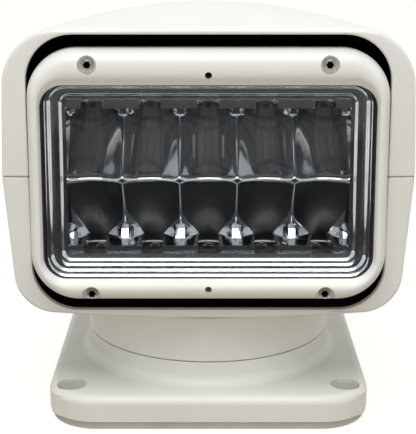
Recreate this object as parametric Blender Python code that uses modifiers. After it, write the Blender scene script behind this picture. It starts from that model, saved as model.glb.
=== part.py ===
"""Marine searchlight: square base, turning collar, two-shell head and a tilting lamp with ten reflector bowls.

Units are metres, +Z is up and the window faces -Y. The origin is the centre of the underside, on the pan axis.
Lengths below are written in millimetres and scaled once, where each mesh is made.
"""
import math

import bmesh
import bpy
from mathutils import Matrix, Vector

MM = 0.001
GAP = 0.3                       # running and seating clearance between neighbours

# Base
PLATE_HALF = 77.0
PLATE_CORNER = 24.0
PLATE_TOP = 16.6
PLATE_WALL = 3.2
PAD_TOP = 3.6
PAD_INSET = 1.5
BOLT_X = 65.5
BOLT_Y = 60.5
BOLT_CBORE_R = 7.1
BOLT_HOLE_R = 3.5
BOLT_SEAT_Z = 8.4
BOLT_POST_WALL = 3.0
BOSS_R = 62.0
BOSS_TOP = 28.0
BOSS_FOOT_R = 5.0
WEB_T = 3.6
HUB_R = 26.0
HUB_BOTTOM = 13.4
STOP_IN = 50.0
STOP_OUT = 55.0
STOP_W = 4.0
ABOVE_BOSS = BOSS_TOP + 12.0
UNDER_HUB = HUB_BOTTOM - 8.4

# Spindle and pan drive
SPINDLE_R = 10.0
SPINDLE_BORE = 6.0
SPINDLE_TOP = 57.0
FLANGE_R = 24.0
FLANGE_T = 3.0
GEAR_MODULE = 1.0
SUN_TEETH = 60
PAN_PINION_TEETH = 15
SUN_T = 8.0
SUN_SCREW_CIRCLE = 19.8
SCREW_R = 1.5
SCREW_HOLE_R = 1.8
SCREW_HEAD_R = 2.75
SCREW_HEAD_T = 2.6
WASHER_T = 3.7
WASHER_R = 15.5
PINION_BORE = 2.8
SHAFT_R = 2.5
PAN_PINION_ANGLE = math.radians(130.0)

# Turret
COLLAR_WALL = 3.5
COLLAR_GAP = 0.4
COLLAR_TOP = 50.5
COLLAR_FLOOR_T = 4.0
NUT_T = 5.8
NUT_R = 15.0
SHELL_WALL = 3.0
SEAM_Z = 121.0
SEAM_GAP = 1.2
SHELL_FRONT = -70.0
FRONT_WALL = 3.6
HEAD_HALF_X = 93.6
HEAD_TOP = 194.4
SHELL_BOTTOM = COLLAR_TOP + GAP
OPEN_HALF_X = HEAD_HALF_X - 12.6
OPEN_TOP = HEAD_TOP - 9.7
OPEN_BOTTOM = SHELL_BOTTOM + 6.8
OPEN_CORNER = 21.0
CHASSIS_POST_R = 6.0
CHASSIS_CIRCLE = 50.0
CHASSIS_BOTTOM = 58.0
CHASSIS_BACK = 58.0
CHASSIS_EAR_R = 14.0
REAR_FLANGE_HALF_X = 44.0
NUT_CLEAR_R = 19.0
SHAFT_CLEAR_R = 10.0
SHEET_T = 3.0
MOTOR_R = 15.0
MOTOR_CAN_R = 12.0
SHELL_POST = ((HEAD_HALF_X - 25.6, 49.0, 54.0), (30.0, 68.5, 62.5))
SHELL_POST_R = 4.6
SHELL_SCREW_SEAT = SEAM_Z - 22.5

# Tilt axis and lamp
TILT_Y = -32.0
TILT_Z = (OPEN_TOP + OPEN_BOTTOM) / 2.0 - 1.15
REST_TILT = math.radians(3.0)
FACE_DZ = -3.2
BEZEL_HALF_X = OPEN_HALF_X - 2.1
BEZEL_HALF_Z = (OPEN_TOP - OPEN_BOTTOM) / 2.0 - 5.75
WINDOW_HALF_X = BEZEL_HALF_X - 5.9
WINDOW_HALF_Z = BEZEL_HALF_Z - 13.8
WINDOW_CORNER = 9.0
BEZEL_BACK = -30.5
BEZEL_LIP = -42.0
RECESS_HALF_X = WINDOW_HALF_X + 3.0
RECESS_HALF_Z = WINDOW_HALF_Z + 2.3
RECESS_CORNER = 10.5
BEZEL_SCREW_X = BEZEL_HALF_X - 25.8
BEZEL_SCREW_Z = (BEZEL_HALF_Z - 8.1, 3.4 - BEZEL_HALF_Z)
BEZEL_CBORE_R = 4.15
BEZEL_CBORE_SEAT = -39.3
DRAIN_DZ = RECESS_HALF_Z + 2.1
DRAIN_R = 1.55
LENS_T = 3.0
LENS_GASKET_T = 1.5
REFLECTOR_FLANGE_T = 2.0
CELL_COLS = 5
CELL_W = (WINDOW_HALF_X - 7.75) * 2.0 / CELL_COLS
CELL_H = WINDOW_HALF_Z - 6.5
RIDGE_Y = -35.0
BOWL_BACK = -9.0
REFLECTOR_BACK = -7.5
REFLECTOR_HALF_X = WINDOW_HALF_X - 6.0
REFLECTOR_WALL = 2.2
LED_WINDOW = 8.0
BOARD_T = 1.6
HOUSING_HALF_X = REFLECTOR_HALF_X + 2.5
HOUSING_HALF_Z = WINDOW_HALF_Z + 1.0
HOUSING_BACK = 8.0
CAVITY_BACK = -7.2
FIN_BACK = 22.0
FIN_HALF_X = HOUSING_HALF_X - 7.5
FIN_HALF_Z = HOUSING_HALF_Z - 9.5
FIN_SLOTS = 8
FIN_T = 5.0
FIN_PITCH = 2.0 * FIN_HALF_X / (FIN_SLOTS + 1)
FIN_SLOT = FIN_PITCH - FIN_T
YOKE_X = HOUSING_HALF_X + 9.0
YOKE_FLAT_X = YOKE_X - 12.5
TRUNNION_R = 6.0
TRUNNION_IN = HOUSING_HALF_X - 8.0
TRUNNION_SHOULDER_R = 12.0
TRUNNION_END = YOKE_X + SHEET_T + 2.1
SECTOR_T = 3.5
SECTOR_TEETH_FULL = 96
SECTOR_TEETH = 17
TILT_PINION_TEETH = 14
TRUNNION_SHOULDER_T = 2.5
BUSH_FLANGE_T = 1.8
BUSH_R = 9.0
BUSH_FLANGE_R = BUSH_R + 2.6
LUG_BACK = -20.0
BEZEL_CUT_FRONT = -55.0

# Derived positions
SPINDLE_FLANGE_TOP = BOSS_TOP + GAP + FLANGE_T
SUN_BOTTOM = SPINDLE_FLANGE_TOP + GAP
SUN_TOP = SUN_BOTTOM + SUN_T
WASHER_BOTTOM = SUN_TOP + GAP
COLLAR_FLOOR = WASHER_BOTTOM + WASHER_T + GAP
COLLAR_FLOOR_TOP = COLLAR_FLOOR + COLLAR_FLOOR_T
COLLAR_BOTTOM = BOSS_TOP + COLLAR_GAP
PAN_CENTRES = GEAR_MODULE * (SUN_TEETH + PAN_PINION_TEETH) / 2.0
PAN_PINION_XY = (PAN_CENTRES * math.cos(PAN_PINION_ANGLE), PAN_CENTRES * math.sin(PAN_PINION_ANGLE))
TILT_CENTRES = GEAR_MODULE * (SECTOR_TEETH_FULL + TILT_PINION_TEETH) / 2.0
TILT_PINION_Y = TILT_Y + TILT_CENTRES
SHOULDER_IN = HOUSING_HALF_X + GAP
SHOULDER_OUT = SHOULDER_IN + TRUNNION_SHOULDER_T
SECTOR_IN = SHOULDER_OUT + GAP
SECTOR_OUT = SECTOR_IN + SECTOR_T
BUSH_IN = SECTOR_OUT + GAP
CHASSIS_TOP = CHASSIS_BOTTOM + SHEET_T
UNDER_FLOOR = SHELL_BOTTOM - 5.0
OVER_FLOOR = CHASSIS_BOTTOM - 1.0
UNDER_CHASSIS = CHASSIS_BOTTOM - 8.0
OVER_CHASSIS = CHASSIS_BOTTOM + 12.0
PAD_HALF = PLATE_HALF - PAD_INSET
PLATE_BOTTOM = PAD_TOP + GAP
LENS_FRONT = BEZEL_LIP + GAP
LENS_BACK = LENS_FRONT + LENS_T
LENS_GASKET_FRONT = LENS_BACK + GAP
LENS_GASKET_BACK = LENS_GASKET_FRONT + LENS_GASKET_T
REFLECTOR_FRONT = LENS_GASKET_BACK + GAP
HOUSING_FRONT = REFLECTOR_FRONT + REFLECTOR_FLANGE_T + GAP
CELL_TOP = FACE_DZ + CELL_H
CELL_BOTTOM = FACE_DZ - CELL_H
BOWL_4F = (CELL_H ** 2 + (CELL_W / 2.0) ** 2) / (BOWL_BACK - RIDGE_Y)
LED_Y = BOWL_BACK - BOWL_4F / 4.0
BOARD_IN = CELL_H + REFLECTOR_WALL + GAP
FACE_CAVITY_Z = BOARD_IN + BOARD_T + GAP

# bezel sections from the back edge over the pillow front to the recess:
# half width, half height, drop, corner radius, depth
BEZEL_RINGS = (
    (BEZEL_HALF_X, BEZEL_HALF_Z, 0.0, 20.0, BEZEL_BACK),
    (BEZEL_HALF_X, BEZEL_HALF_Z, 0.0, 20.0, -37.0),
    (BEZEL_HALF_X - 0.5, BEZEL_HALF_Z - 0.6, 0.0, 19.5, -40.0),
    (BEZEL_HALF_X - 1.4, BEZEL_HALF_Z - 1.9, -0.1, 18.6, -42.8),
    (BEZEL_HALF_X - 2.7, BEZEL_HALF_Z - 4.2, -0.6, 16.6, -45.0),
    (BEZEL_HALF_X - 3.9, BEZEL_HALF_Z - 7.2, -1.5, 13.8, -45.9),
    (BEZEL_HALF_X - 4.9, BEZEL_HALF_Z - 10.0, -2.4, 11.2, -45.6),
    (WINDOW_HALF_X, WINDOW_HALF_Z, FACE_DZ, WINDOW_CORNER, -43.6),
    (WINDOW_HALF_X, WINDOW_HALF_Z, FACE_DZ, WINDOW_CORNER, BEZEL_LIP),
    (RECESS_HALF_X, RECESS_HALF_Z, FACE_DZ, RECESS_CORNER, BEZEL_LIP),
    (RECESS_HALF_X, RECESS_HALF_Z, FACE_DZ, RECESS_CORNER, BEZEL_BACK),
)
FRONT_REACH = -min(TILT_Y + y * math.cos(REST_TILT) + (dz - half_z) * math.sin(REST_TILT)
                   for _, half_z, dz, _, y in BEZEL_RINGS)

# head shell, station by station from the front rim to the back: y, then how far the side at the seam and
# at the top corner stand in from the greatest half width, the fall of the top, its sag at the corner and
# its corner radius, and the same for the bottom: inset, rise, sag, radius
HEAD_PLAN = (
    (-70.0, 1.9, 4.4, 8.2, 0.8, 23.5, 6.8, 3.8, 4.0, 15.0),
    (-69.4, 0.9, 3.4, 7.3, 0.8, 24.0, 5.8, 2.9, 4.0, 15.5),
    (-67.6, 0.3, 2.9, 6.5, 1.0, 24.5, 5.2, 2.2, 3.9, 16.0),
    (-61.0, 0.0, 3.0, 4.9, 3.2, 25.0, 4.9, 0.6, 3.2, 16.5),
    (-47.0, 0.0, 3.4, 2.2, 8.8, 26.5, 4.8, 0.0, 2.6, 17.0),
    (-28.0, 0.1, 4.1, 0.0, 15.0, 28.5, 5.0, 0.0, 2.4, 17.5),
    (-6.0, 0.9, 5.4, 0.6, 17.5, 30.0, 5.8, 0.0, 2.4, 18.5),
    (16.0, 2.6, 7.8, 3.8, 18.0, 32.0, 7.4, 0.0, 2.6, 20.0),
    (36.0, 6.0, 11.5, 10.3, 17.0, 33.0, 10.6, 0.0, 2.8, 21.5),
    (50.0, 10.6, 16.1, 18.0, 15.0, 34.0, 14.8, 0.2, 3.2, 22.0),
    (61.0, 16.6, 22.0, 27.2, 12.6, 33.0, 20.4, 2.4, 3.5, 21.0),
    (69.0, 24.0, 29.0, 37.6, 10.0, 30.0, 27.0, 7.2, 3.4, 19.0),
    (74.2, 32.4, 36.8, 47.2, 7.6, 25.0, 34.4, 13.4, 3.0, 16.0),
    (76.6, 40.0, 43.8, 54.2, 5.8, 20.0, 41.0, 19.0, 2.5, 13.0),
    (77.4, 46.8, 50.2, 59.6, 4.4, 14.0, 47.4, 23.8, 2.0, 10.0),
)

# behind the tilt axis the stations spread so that the head reaches as far back as the tilted bezel
# does in front
STRETCH_FROM = -28.0
STRETCH = (FRONT_REACH - STRETCH_FROM) / (HEAD_PLAN[-1][0] - STRETCH_FROM)
SHELL_STATIONS = []
for y, at_seam, at_top, fall, top_sag, top_radius, at_bottom, rise, low_sag, low_radius in HEAD_PLAN:
    SHELL_STATIONS.append((y if y < STRETCH_FROM else STRETCH_FROM + (y - STRETCH_FROM) * STRETCH,
                           HEAD_HALF_X - at_seam, HEAD_HALF_X - at_top, HEAD_TOP - fall, top_sag, top_radius,
                           HEAD_HALF_X - at_bottom, SHELL_BOTTOM + rise, low_sag, low_radius))

# Scene set-up
for old in list(bpy.data.objects):
    bpy.data.objects.remove(old, do_unlink=True)

bpy.context.scene.unit_settings.system = 'METRIC'
PARTS = bpy.data.collections.new("marine_searchlight")
CUTTERS = bpy.data.collections.new("cutters")
for collection in (PARTS, CUTTERS):
    bpy.context.scene.collection.children.link(collection)


def material(name, rgb, metallic=0.0, roughness=0.5):
    """A plain principled material for one piece."""
    made = bpy.data.materials.new(name)
    made.use_nodes = True
    shader = made.node_tree.nodes["Principled BSDF"]
    shader.inputs["Base Color"].default_value = (rgb[0], rgb[1], rgb[2], 1.0)
    shader.inputs["Metallic"].default_value = metallic
    shader.inputs["Roughness"].default_value = roughness
    return made


def empty(name, location, tilt=0.0):
    """An empty on a joint axis, the parent of what turns with it."""
    pivot = bpy.data.objects.new(name, None)
    pivot.empty_display_size = 0.02
    pivot.location = Vector(location) * MM
    pivot.rotation_euler = (tilt, 0.0, 0.0)
    PARTS.objects.link(pivot)
    return pivot


# Shape helpers
AXIS_TURN = {
    'Z': Matrix.Identity(4),
    'Y': Matrix(((1, 0, 0, 0), (0, 0, 1, 0), (0, 1, 0, 0), (0, 0, 0, 1))),
    'X': Matrix(((0, 0, 1, 0), (1, 0, 0, 0), (0, 1, 0, 0), (0, 0, 0, 1))),
}


def rounded_rect(half_x, half_y, radius, steps=6, centre=(0.0, 0.0)):
    """Corner arcs of a rounded rectangle, anticlockwise."""
    points = []
    for turn, (sx, sy) in enumerate(((1, 1), (-1, 1), (-1, -1), (1, -1))):
        for i in range(steps + 1):
            angle = math.radians(90.0 * (turn + i / steps))
            points.append((centre[0] + sx * (half_x - radius) + radius * math.cos(angle),
                           centre[1] + sy * (half_y - radius) + radius * math.sin(angle)))
    return points


def circle(radius, count, centre=(0.0, 0.0), phase=0.0):
    """Points of a circle, anticlockwise."""
    return [(centre[0] + radius * math.cos(2 * math.pi * i / count + phase),
             centre[1] + radius * math.sin(2 * math.pi * i / count + phase)) for i in range(count)]


def gear_teeth(teeth, count, outer, root, phase, flank=0.25, tip=0.12):
    """Trapezoid teeth round a centre, starting at the phase angle; widths are shares of a pitch."""
    pitch = 2 * math.pi / teeth
    points = []
    for i in range(count):
        middle = phase + i * pitch
        for radius, shift in ((root, -flank), (outer, -tip), (outer, tip), (root, flank)):
            angle = middle + shift * pitch
            points.append((radius * math.cos(angle), radius * math.sin(angle)))
    return points


def link(mesh_object, cutter, parent):
    """Put an object in its collection, under its joint axis."""
    (CUTTERS if cutter else PARTS).objects.link(mesh_object)
    if parent is not None:
        mesh_object.parent = parent
    if cutter:
        mesh_object.hide_render = True
        mesh_object.hide_viewport = True
        mesh_object.display_type = 'WIRE'
    return mesh_object


def prism(name, loops, low, high, axis='Z', mat=None, cutter=False, parent=None):
    """A filled flat curve with holes, extruded from low to high along one axis."""
    flat = bpy.data.curves.new(name + "_outline", 'CURVE')
    flat.dimensions = '2D'
    flat.fill_mode = 'BOTH'
    flat.extrude = (high - low) / 2.0 * MM
    for loop in loops:
        spline = flat.splines.new('POLY')
        spline.points.add(len(loop) - 1)
        for point, (x, y) in zip(spline.points, loop):
            point.co = (x * MM, y * MM, 0.0, 1.0)
        spline.use_cyclic_u = True
    carrier = bpy.data.objects.new(name + "_outline", flat)
    bpy.context.scene.collection.objects.link(carrier)
    bpy.context.view_layer.update()
    mesh = bpy.data.meshes.new_from_object(carrier)
    bpy.data.objects.remove(carrier, do_unlink=True)
    bpy.data.curves.remove(flat)
    mesh.name = name
    mesh.transform(AXIS_TURN[axis] @ Matrix.Translation((0.0, 0.0, (low + high) / 2.0 * MM)))
    body = bmesh.new()
    body.from_mesh(mesh)
    bmesh.ops.remove_doubles(body, verts=body.verts, dist=1e-6)
    bmesh.ops.recalc_face_normals(body, faces=body.faces)
    body.to_mesh(mesh)
    body.free()
    made = bpy.data.objects.new(name, mesh)
    if mat is not None:
        made.data.materials.clear()
        made.data.materials.append(mat)
    return link(made, cutter, parent)


def turned(name, profile, segments, axis='Z', centre=(0.0, 0.0), mat=None, cutter=False, parent=None,
           closed=False):
    """A profile of (radius, height) points spun round an axis by a Screw modifier."""
    mesh = bpy.data.meshes.new(name)
    verts = [(r * MM, 0.0, h * MM) for r, h in profile]
    edges = [(i, i + 1) for i in range(len(verts) - 1)]
    if closed:
        edges.append((len(verts) - 1, 0))
    mesh.from_pydata(verts, edges, [])
    made = bpy.data.objects.new(name, mesh)
    spin = made.modifiers.new("turn", 'SCREW')
    spin.angle = 2 * math.pi
    spin.steps = segments
    spin.render_steps = segments
    spin.use_merge_vertices = True
    spin.merge_threshold = 0.00001
    spin.use_smooth_shade = True
    link(made, cutter, parent)
    bpy.context.view_layer.update()
    graph = bpy.context.evaluated_depsgraph_get()
    made.hide_viewport = False
    graph.update()
    spun = bpy.data.meshes.new_from_object(made.evaluated_get(graph))
    made.modifiers.clear()
    old = made.data
    made.data = spun
    bpy.data.meshes.remove(old)
    spun.name = name
    shift = {'Z': (centre[0], centre[1], 0.0), 'Y': (centre[0], 0.0, centre[1]), 'X': (0.0, centre[0],
                                                                                       centre[1])}
    spun.transform(Matrix.Translation(Vector(shift[axis]) * MM) @ AXIS_TURN[axis])
    body = bmesh.new()
    body.from_mesh(spun)
    bmesh.ops.remove_doubles(body, verts=body.verts, dist=1e-6)
    bmesh.ops.recalc_face_normals(body, faces=body.faces)
    body.to_mesh(spun)
    body.free()
    made.hide_viewport = cutter
    if mat is not None:
        made.data.materials.clear()
        made.data.materials.append(mat)
    return made


def loft(name, sections, mat=None, cutter=False, parent=None, ring=False):
    """Quads between sections of equal point count; both ends closed, or the last joined to the first."""
    mesh = bpy.data.meshes.new(name)
    count = len(sections[0])
    verts = [Vector(point) * MM for section in sections for point in section]
    faces = []
    spans = len(sections) if ring else len(sections) - 1
    for s in range(spans):
        here = s * count
        there = ((s + 1) % len(sections)) * count
        for i in range(count):
            j = (i + 1) % count
            faces.append((here + i, here + j, there + j, there + i))
    if not ring:
        faces.append(tuple(range(count)))
        faces.append(tuple(range(len(verts) - count, len(verts))))
    mesh.from_pydata(verts, [], faces)
    body = bmesh.new()
    body.from_mesh(mesh)
    bmesh.ops.recalc_face_normals(body, faces=body.faces)
    body.to_mesh(mesh)
    body.free()
    made = bpy.data.objects.new(name, mesh)
    if mat is not None:
        made.data.materials.append(mat)
    return link(made, cutter, parent)


def box(name, low, high, mat=None, cutter=False, parent=None):
    """A block between two corners."""
    loop = [(low[0], low[1]), (high[0], low[1]), (high[0], high[1]), (low[0], high[1])]
    return prism(name, [loop], low[2], high[2], 'Z', mat, cutter, parent)


def boolean(target, operand, operation):
    """One exact Boolean step."""
    step = target.modifiers.new(operand.name, 'BOOLEAN')
    step.operation = operation
    step.object = operand
    step.solver = 'EXACT'
    return target


def cut(target, *operands):
    for operand in operands:
        boolean(target, operand, 'DIFFERENCE')
    return target


def join(target, *operands):
    for operand in operands:
        boolean(target, operand, 'UNION')
    return target


def bevel(target, width, segments=2, angle=40.0):
    """Rounded edges where faces meet at more than the angle."""
    step = target.modifiers.new("edges", 'BEVEL')
    step.width = width * MM
    step.segments = segments
    step.limit_method = 'ANGLE'
    step.angle_limit = math.radians(angle)
    return target


# Materials
WHITE = (0.86, 0.86, 0.83)
BLACK = (0.02, 0.02, 0.02)
STEEL = (0.62, 0.62, 0.62)
BRASS_RGB = (0.75, 0.58, 0.25)

pan_axis = empty("pan_axis", (0.0, 0.0, 0.0))
tilt_axis = empty("tilt_axis", (0.0, TILT_Y, TILT_Z), -REST_TILT)
pan_pinion_axis = empty("pan_pinion_axis", (PAN_PINION_XY[0], PAN_PINION_XY[1], 0.0))
tilt_pinion_axis = empty("tilt_pinion_axis", (0.0, TILT_PINION_Y, TILT_Z))

# Base
BOLTS = [(sx * BOLT_X, sy * BOLT_Y) for sx in (-1, 1) for sy in (-1, 1)]
gasket_loops = [rounded_rect(PAD_HALF, PAD_HALF, PLATE_CORNER - PAD_INSET, 6)]
gasket_loops.append(circle(FLANGE_R, 20))
for bolt in BOLTS:
    gasket_loops.append(circle(BOLT_HOLE_R + 0.4, 10, bolt))
prism("deck_gasket", gasket_loops, 0.0, PAD_TOP, mat=material("gasket rubber", (0.55, 0.55, 0.5)))

white_base = material("moulded base white", WHITE, 0.0, 0.35)
base_plate = prism("base_plate", [rounded_rect(PLATE_HALF, PLATE_HALF, PLATE_CORNER, 6)], PLATE_BOTTOM,
                   PLATE_TOP, mat=white_base)
top_round = base_plate.modifiers.new("edge", 'BEVEL')
top_round.width = 4.2 * MM
top_round.segments = 3
top_round.limit_method = 'VGROUP'
top_group = base_plate.vertex_groups.new(name="top_edge")
top_group.add([v.index for v in base_plate.data.vertices if v.co.z > (PLATE_TOP - 0.1) * MM], 1.0, 'REPLACE')
top_round.vertex_group = "top_edge"
foot = [(0.0, BOSS_TOP), (BOSS_R - 0.6, BOSS_TOP), (BOSS_R, BOSS_TOP - 0.6)]
for i in range(4):
    angle = math.radians(90.0 * i / 3)
    foot.append((BOSS_R + BOSS_FOOT_R * (1 - math.cos(angle)), PLATE_TOP - 0.05 + BOSS_FOOT_R
                 * (1 - math.sin(angle))))
foot.append((BOSS_R + BOSS_FOOT_R, PLATE_TOP - 1.5))
foot.append((0.0, PLATE_TOP - 1.5))
boss = turned("boss", foot, 48, cutter=True)
fixed_stop = box("fixed_stop", (-STOP_W / 2, STOP_IN, BOSS_TOP - 1.0), (STOP_W / 2, STOP_OUT, ABOVE_BOSS),
                 cutter=True)
join(base_plate, boss, fixed_stop)
inner_half = PLATE_HALF - PLATE_WALL
tray = prism("tray", [rounded_rect(inner_half, inner_half, PLATE_CORNER - PLATE_WALL, 3)], PLATE_BOTTOM - 1.0,
             HUB_BOTTOM, cutter=True)
for n, bolt in enumerate(BOLTS):
    cut(tray, prism("bolt_post_%d" % n, [circle(BOLT_CBORE_R + BOLT_POST_WALL, 12, bolt)], 0.0,
                    HUB_BOTTOM + 2.0, cutter=True))
boss_hollow = prism("boss_hollow", [circle(BOSS_R - 4.0, 28), circle(HUB_R, 20)], HUB_BOTTOM - 1.0,
                    BOSS_TOP - WEB_T, cutter=True)
cut(base_plate, tray, boss_hollow)
spindle_hole = turned("spindle_hole", [(0.0, ABOVE_BOSS), (SPINDLE_R + GAP, ABOVE_BOSS), (SPINDLE_R + GAP,
                                                                                          UNDER_HUB),
                                       (0.0, UNDER_HUB)], 24, cutter=True)
cut(base_plate, spindle_hole)
for n, bolt in enumerate(BOLTS):
    bore = [(0.0, ABOVE_BOSS), (BOLT_CBORE_R, ABOVE_BOSS), (BOLT_CBORE_R, BOLT_SEAT_Z),
            (BOLT_HOLE_R, BOLT_SEAT_Z), (BOLT_HOLE_R, 0.0), (0.0, 0.0)]
    cut(base_plate, turned("bolt_bore_%d" % n, bore, 18, centre=bolt, cutter=True))

SUN_SCREWS = [(SUN_SCREW_CIRCLE * math.cos(math.radians(a)), SUN_SCREW_CIRCLE * math.sin(math.radians(a)))
              for a in (90.0, 210.0, 330.0)]
screw_low = BOSS_TOP - 10.0
for n, spot in enumerate(SUN_SCREWS):
    pilot = [(0.0, ABOVE_BOSS), (SCREW_HOLE_R, ABOVE_BOSS), (SCREW_HOLE_R, screw_low - GAP),
             (0.0, screw_low - GAP)]
    cut(base_plate, turned("hub_pilot_%d" % n, pilot, 8, centre=spot, cutter=True))

spindle_profile = [(SPINDLE_R - 1.0, SPINDLE_TOP), (SPINDLE_R, SPINDLE_TOP - 1.0),
                   (SPINDLE_R, SPINDLE_FLANGE_TOP), (FLANGE_R, SPINDLE_FLANGE_TOP),
                   (FLANGE_R, BOSS_TOP + GAP), (SPINDLE_R, BOSS_TOP + GAP), (SPINDLE_R, HUB_BOTTOM + GAP),
                   (SPINDLE_BORE, HUB_BOTTOM + GAP), (SPINDLE_BORE, SPINDLE_TOP)]
spindle = turned("spindle", spindle_profile, 20, mat=material("spindle steel", STEEL, 1.0, 0.3), closed=True)
for n, spot in enumerate(SUN_SCREWS):
    hole = [(0.0, ABOVE_BOSS), (SCREW_HOLE_R, ABOVE_BOSS), (SCREW_HOLE_R, UNDER_HUB), (0.0, UNDER_HUB)]
    cut(spindle, turned("flange_hole_%d" % n, hole, 8, centre=spot, cutter=True))

sun_pitch = GEAR_MODULE * SUN_TEETH / 2.0
sun_loops = [gear_teeth(SUN_TEETH, SUN_TEETH, sun_pitch + GEAR_MODULE, sun_pitch - 1.25 * GEAR_MODULE,
                        PAN_PINION_ANGLE), circle(SPINDLE_R + GAP, 20)]
for spot in SUN_SCREWS:
    sun_loops.append(circle(SCREW_HOLE_R, 8, spot))
prism("sun_gear", sun_loops, SUN_BOTTOM, SUN_TOP, mat=material("gear acetal", (0.75, 0.74, 0.7), 0.0, 0.5))
screw_steel = material("screw steel", STEEL, 1.0, 0.25)
head_low = SUN_TOP + GAP
for n, spot in enumerate(SUN_SCREWS):
    body = [(0.0, head_low + SCREW_HEAD_T), (SCREW_HEAD_R, head_low + SCREW_HEAD_T), (SCREW_HEAD_R, head_low),
            (SCREW_R, head_low), (SCREW_R, screw_low), (0.0, screw_low)]
    turned("sun_screw_%d" % (n + 1), body, 10, centre=spot, mat=screw_steel)

turned("thrust_washer", [(WASHER_R, WASHER_BOTTOM + WASHER_T), (WASHER_R, WASHER_BOTTOM),
                         (SPINDLE_R + GAP, WASHER_BOTTOM), (SPINDLE_R + GAP, WASHER_BOTTOM + WASHER_T)],
       20, mat=material("washer bronze", BRASS_RGB, 1.0, 0.35), closed=True)

inlet_top = HUB_BOTTOM - GAP
inlet_profile = [(SPINDLE_BORE - GAP, inlet_top + 9.0), (SPINDLE_BORE - GAP, inlet_top), (14.0, inlet_top),
                 (14.0, inlet_top - 3.6), (8.0, inlet_top - 3.6), (8.0, PAD_TOP + GAP), (3.5, PAD_TOP + GAP),
                 (3.5, inlet_top + 9.0)]
turned("power_inlet", inlet_profile, 16, mat=material("gland black", BLACK, 0.0, 0.5), closed=True)

# Turret collar and drive
collar_in = BOSS_R - COLLAR_WALL
collar_profile = [(BOSS_R - 0.5, COLLAR_TOP), (BOSS_R, COLLAR_TOP - 0.5), (BOSS_R, COLLAR_BOTTOM + 0.5),
                  (BOSS_R - 0.5, COLLAR_BOTTOM), (collar_in, COLLAR_BOTTOM), (collar_in, COLLAR_FLOOR),
                  (SPINDLE_R + GAP, COLLAR_FLOOR), (SPINDLE_R + GAP, COLLAR_FLOOR_TOP),
                  (collar_in, COLLAR_FLOOR_TOP), (collar_in, COLLAR_TOP)]
turret_collar = turned("turret_collar", collar_profile, 48, mat=material("collar white", WHITE, 0.0, 0.35),
                       closed=True, parent=pan_axis)
CHASSIS_SCREWS = [(CHASSIS_CIRCLE * math.cos(math.radians(a)), CHASSIS_CIRCLE * math.sin(math.radians(a)))
                  for a in (25.0, 155.0, 205.0, 335.0)]
moving_stop = box("moving_stop", (-STOP_W / 2, -STOP_OUT, BOSS_TOP + 6.0), (STOP_W / 2, -STOP_IN,
                                                                            COLLAR_FLOOR + 1.0),
                  cutter=True, parent=pan_axis)
join(turret_collar, moving_stop)
for n, spot in enumerate(CHASSIS_SCREWS):
    post = prism("collar_post_%d" % n, [circle(CHASSIS_POST_R, 8, spot)], COLLAR_FLOOR_TOP - 1.0, COLLAR_TOP,
                 cutter=True, parent=pan_axis)
    join(turret_collar, post)
for n, spot in enumerate(CHASSIS_SCREWS):
    cut(turret_collar, prism("collar_pilot_%d" % n, [circle(SCREW_HOLE_R, 8, spot)], COLLAR_FLOOR - 2.0,
                             COLLAR_TOP + 2.0, cutter=True, parent=pan_axis))
cut(turret_collar, prism("pinion_clear", [circle(SHAFT_CLEAR_R, 16, PAN_PINION_XY)], COLLAR_FLOOR - 2.0,
                         COLLAR_TOP + 2.0, cutter=True, parent=pan_axis))

nut_loops = [circle(NUT_R, 6), circle(SPINDLE_R + GAP, 20)]
spindle_nut = prism("spindle_nut", nut_loops, COLLAR_FLOOR_TOP + GAP, COLLAR_FLOOR_TOP + GAP + NUT_T,
                    mat=material("nut brass", BRASS_RGB, 1.0, 0.3), parent=pan_axis)
bevel(spindle_nut, 0.6, 1, 50.0)

pinion_mat = material("pinion steel", STEEL, 1.0, 0.35)
pan_pitch = GEAR_MODULE * PAN_PINION_TEETH / 2.0
pan_phase = PAN_PINION_ANGLE + math.pi + math.pi / PAN_PINION_TEETH
prism("pan_pinion", [gear_teeth(PAN_PINION_TEETH, PAN_PINION_TEETH, pan_pitch + GEAR_MODULE,
                                pan_pitch - 1.25 * GEAR_MODULE, pan_phase),
                     circle(PINION_BORE, 16)],
      SUN_BOTTOM, SUN_TOP, mat=pinion_mat, parent=pan_pinion_axis)

motor_base = CHASSIS_TOP + GAP
pan_motor_profile = [(0.0, motor_base + 48.0), (2.0, motor_base + 48.0), (2.0, motor_base + 46.0),
                     (MOTOR_CAN_R - 1.0, motor_base + 46.0), (MOTOR_CAN_R, motor_base + 45.0),
                     (MOTOR_CAN_R, motor_base + 22.0), (MOTOR_R, motor_base + 22.0), (MOTOR_R, motor_base),
                     (SHAFT_R, motor_base), (SHAFT_R, SUN_BOTTOM), (0.0, SUN_BOTTOM)]
turned("pan_motor", pan_motor_profile, 18, centre=PAN_PINION_XY,
       mat=material("motor zinc", STEEL, 1.0, 0.45), parent=pan_axis)


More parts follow.
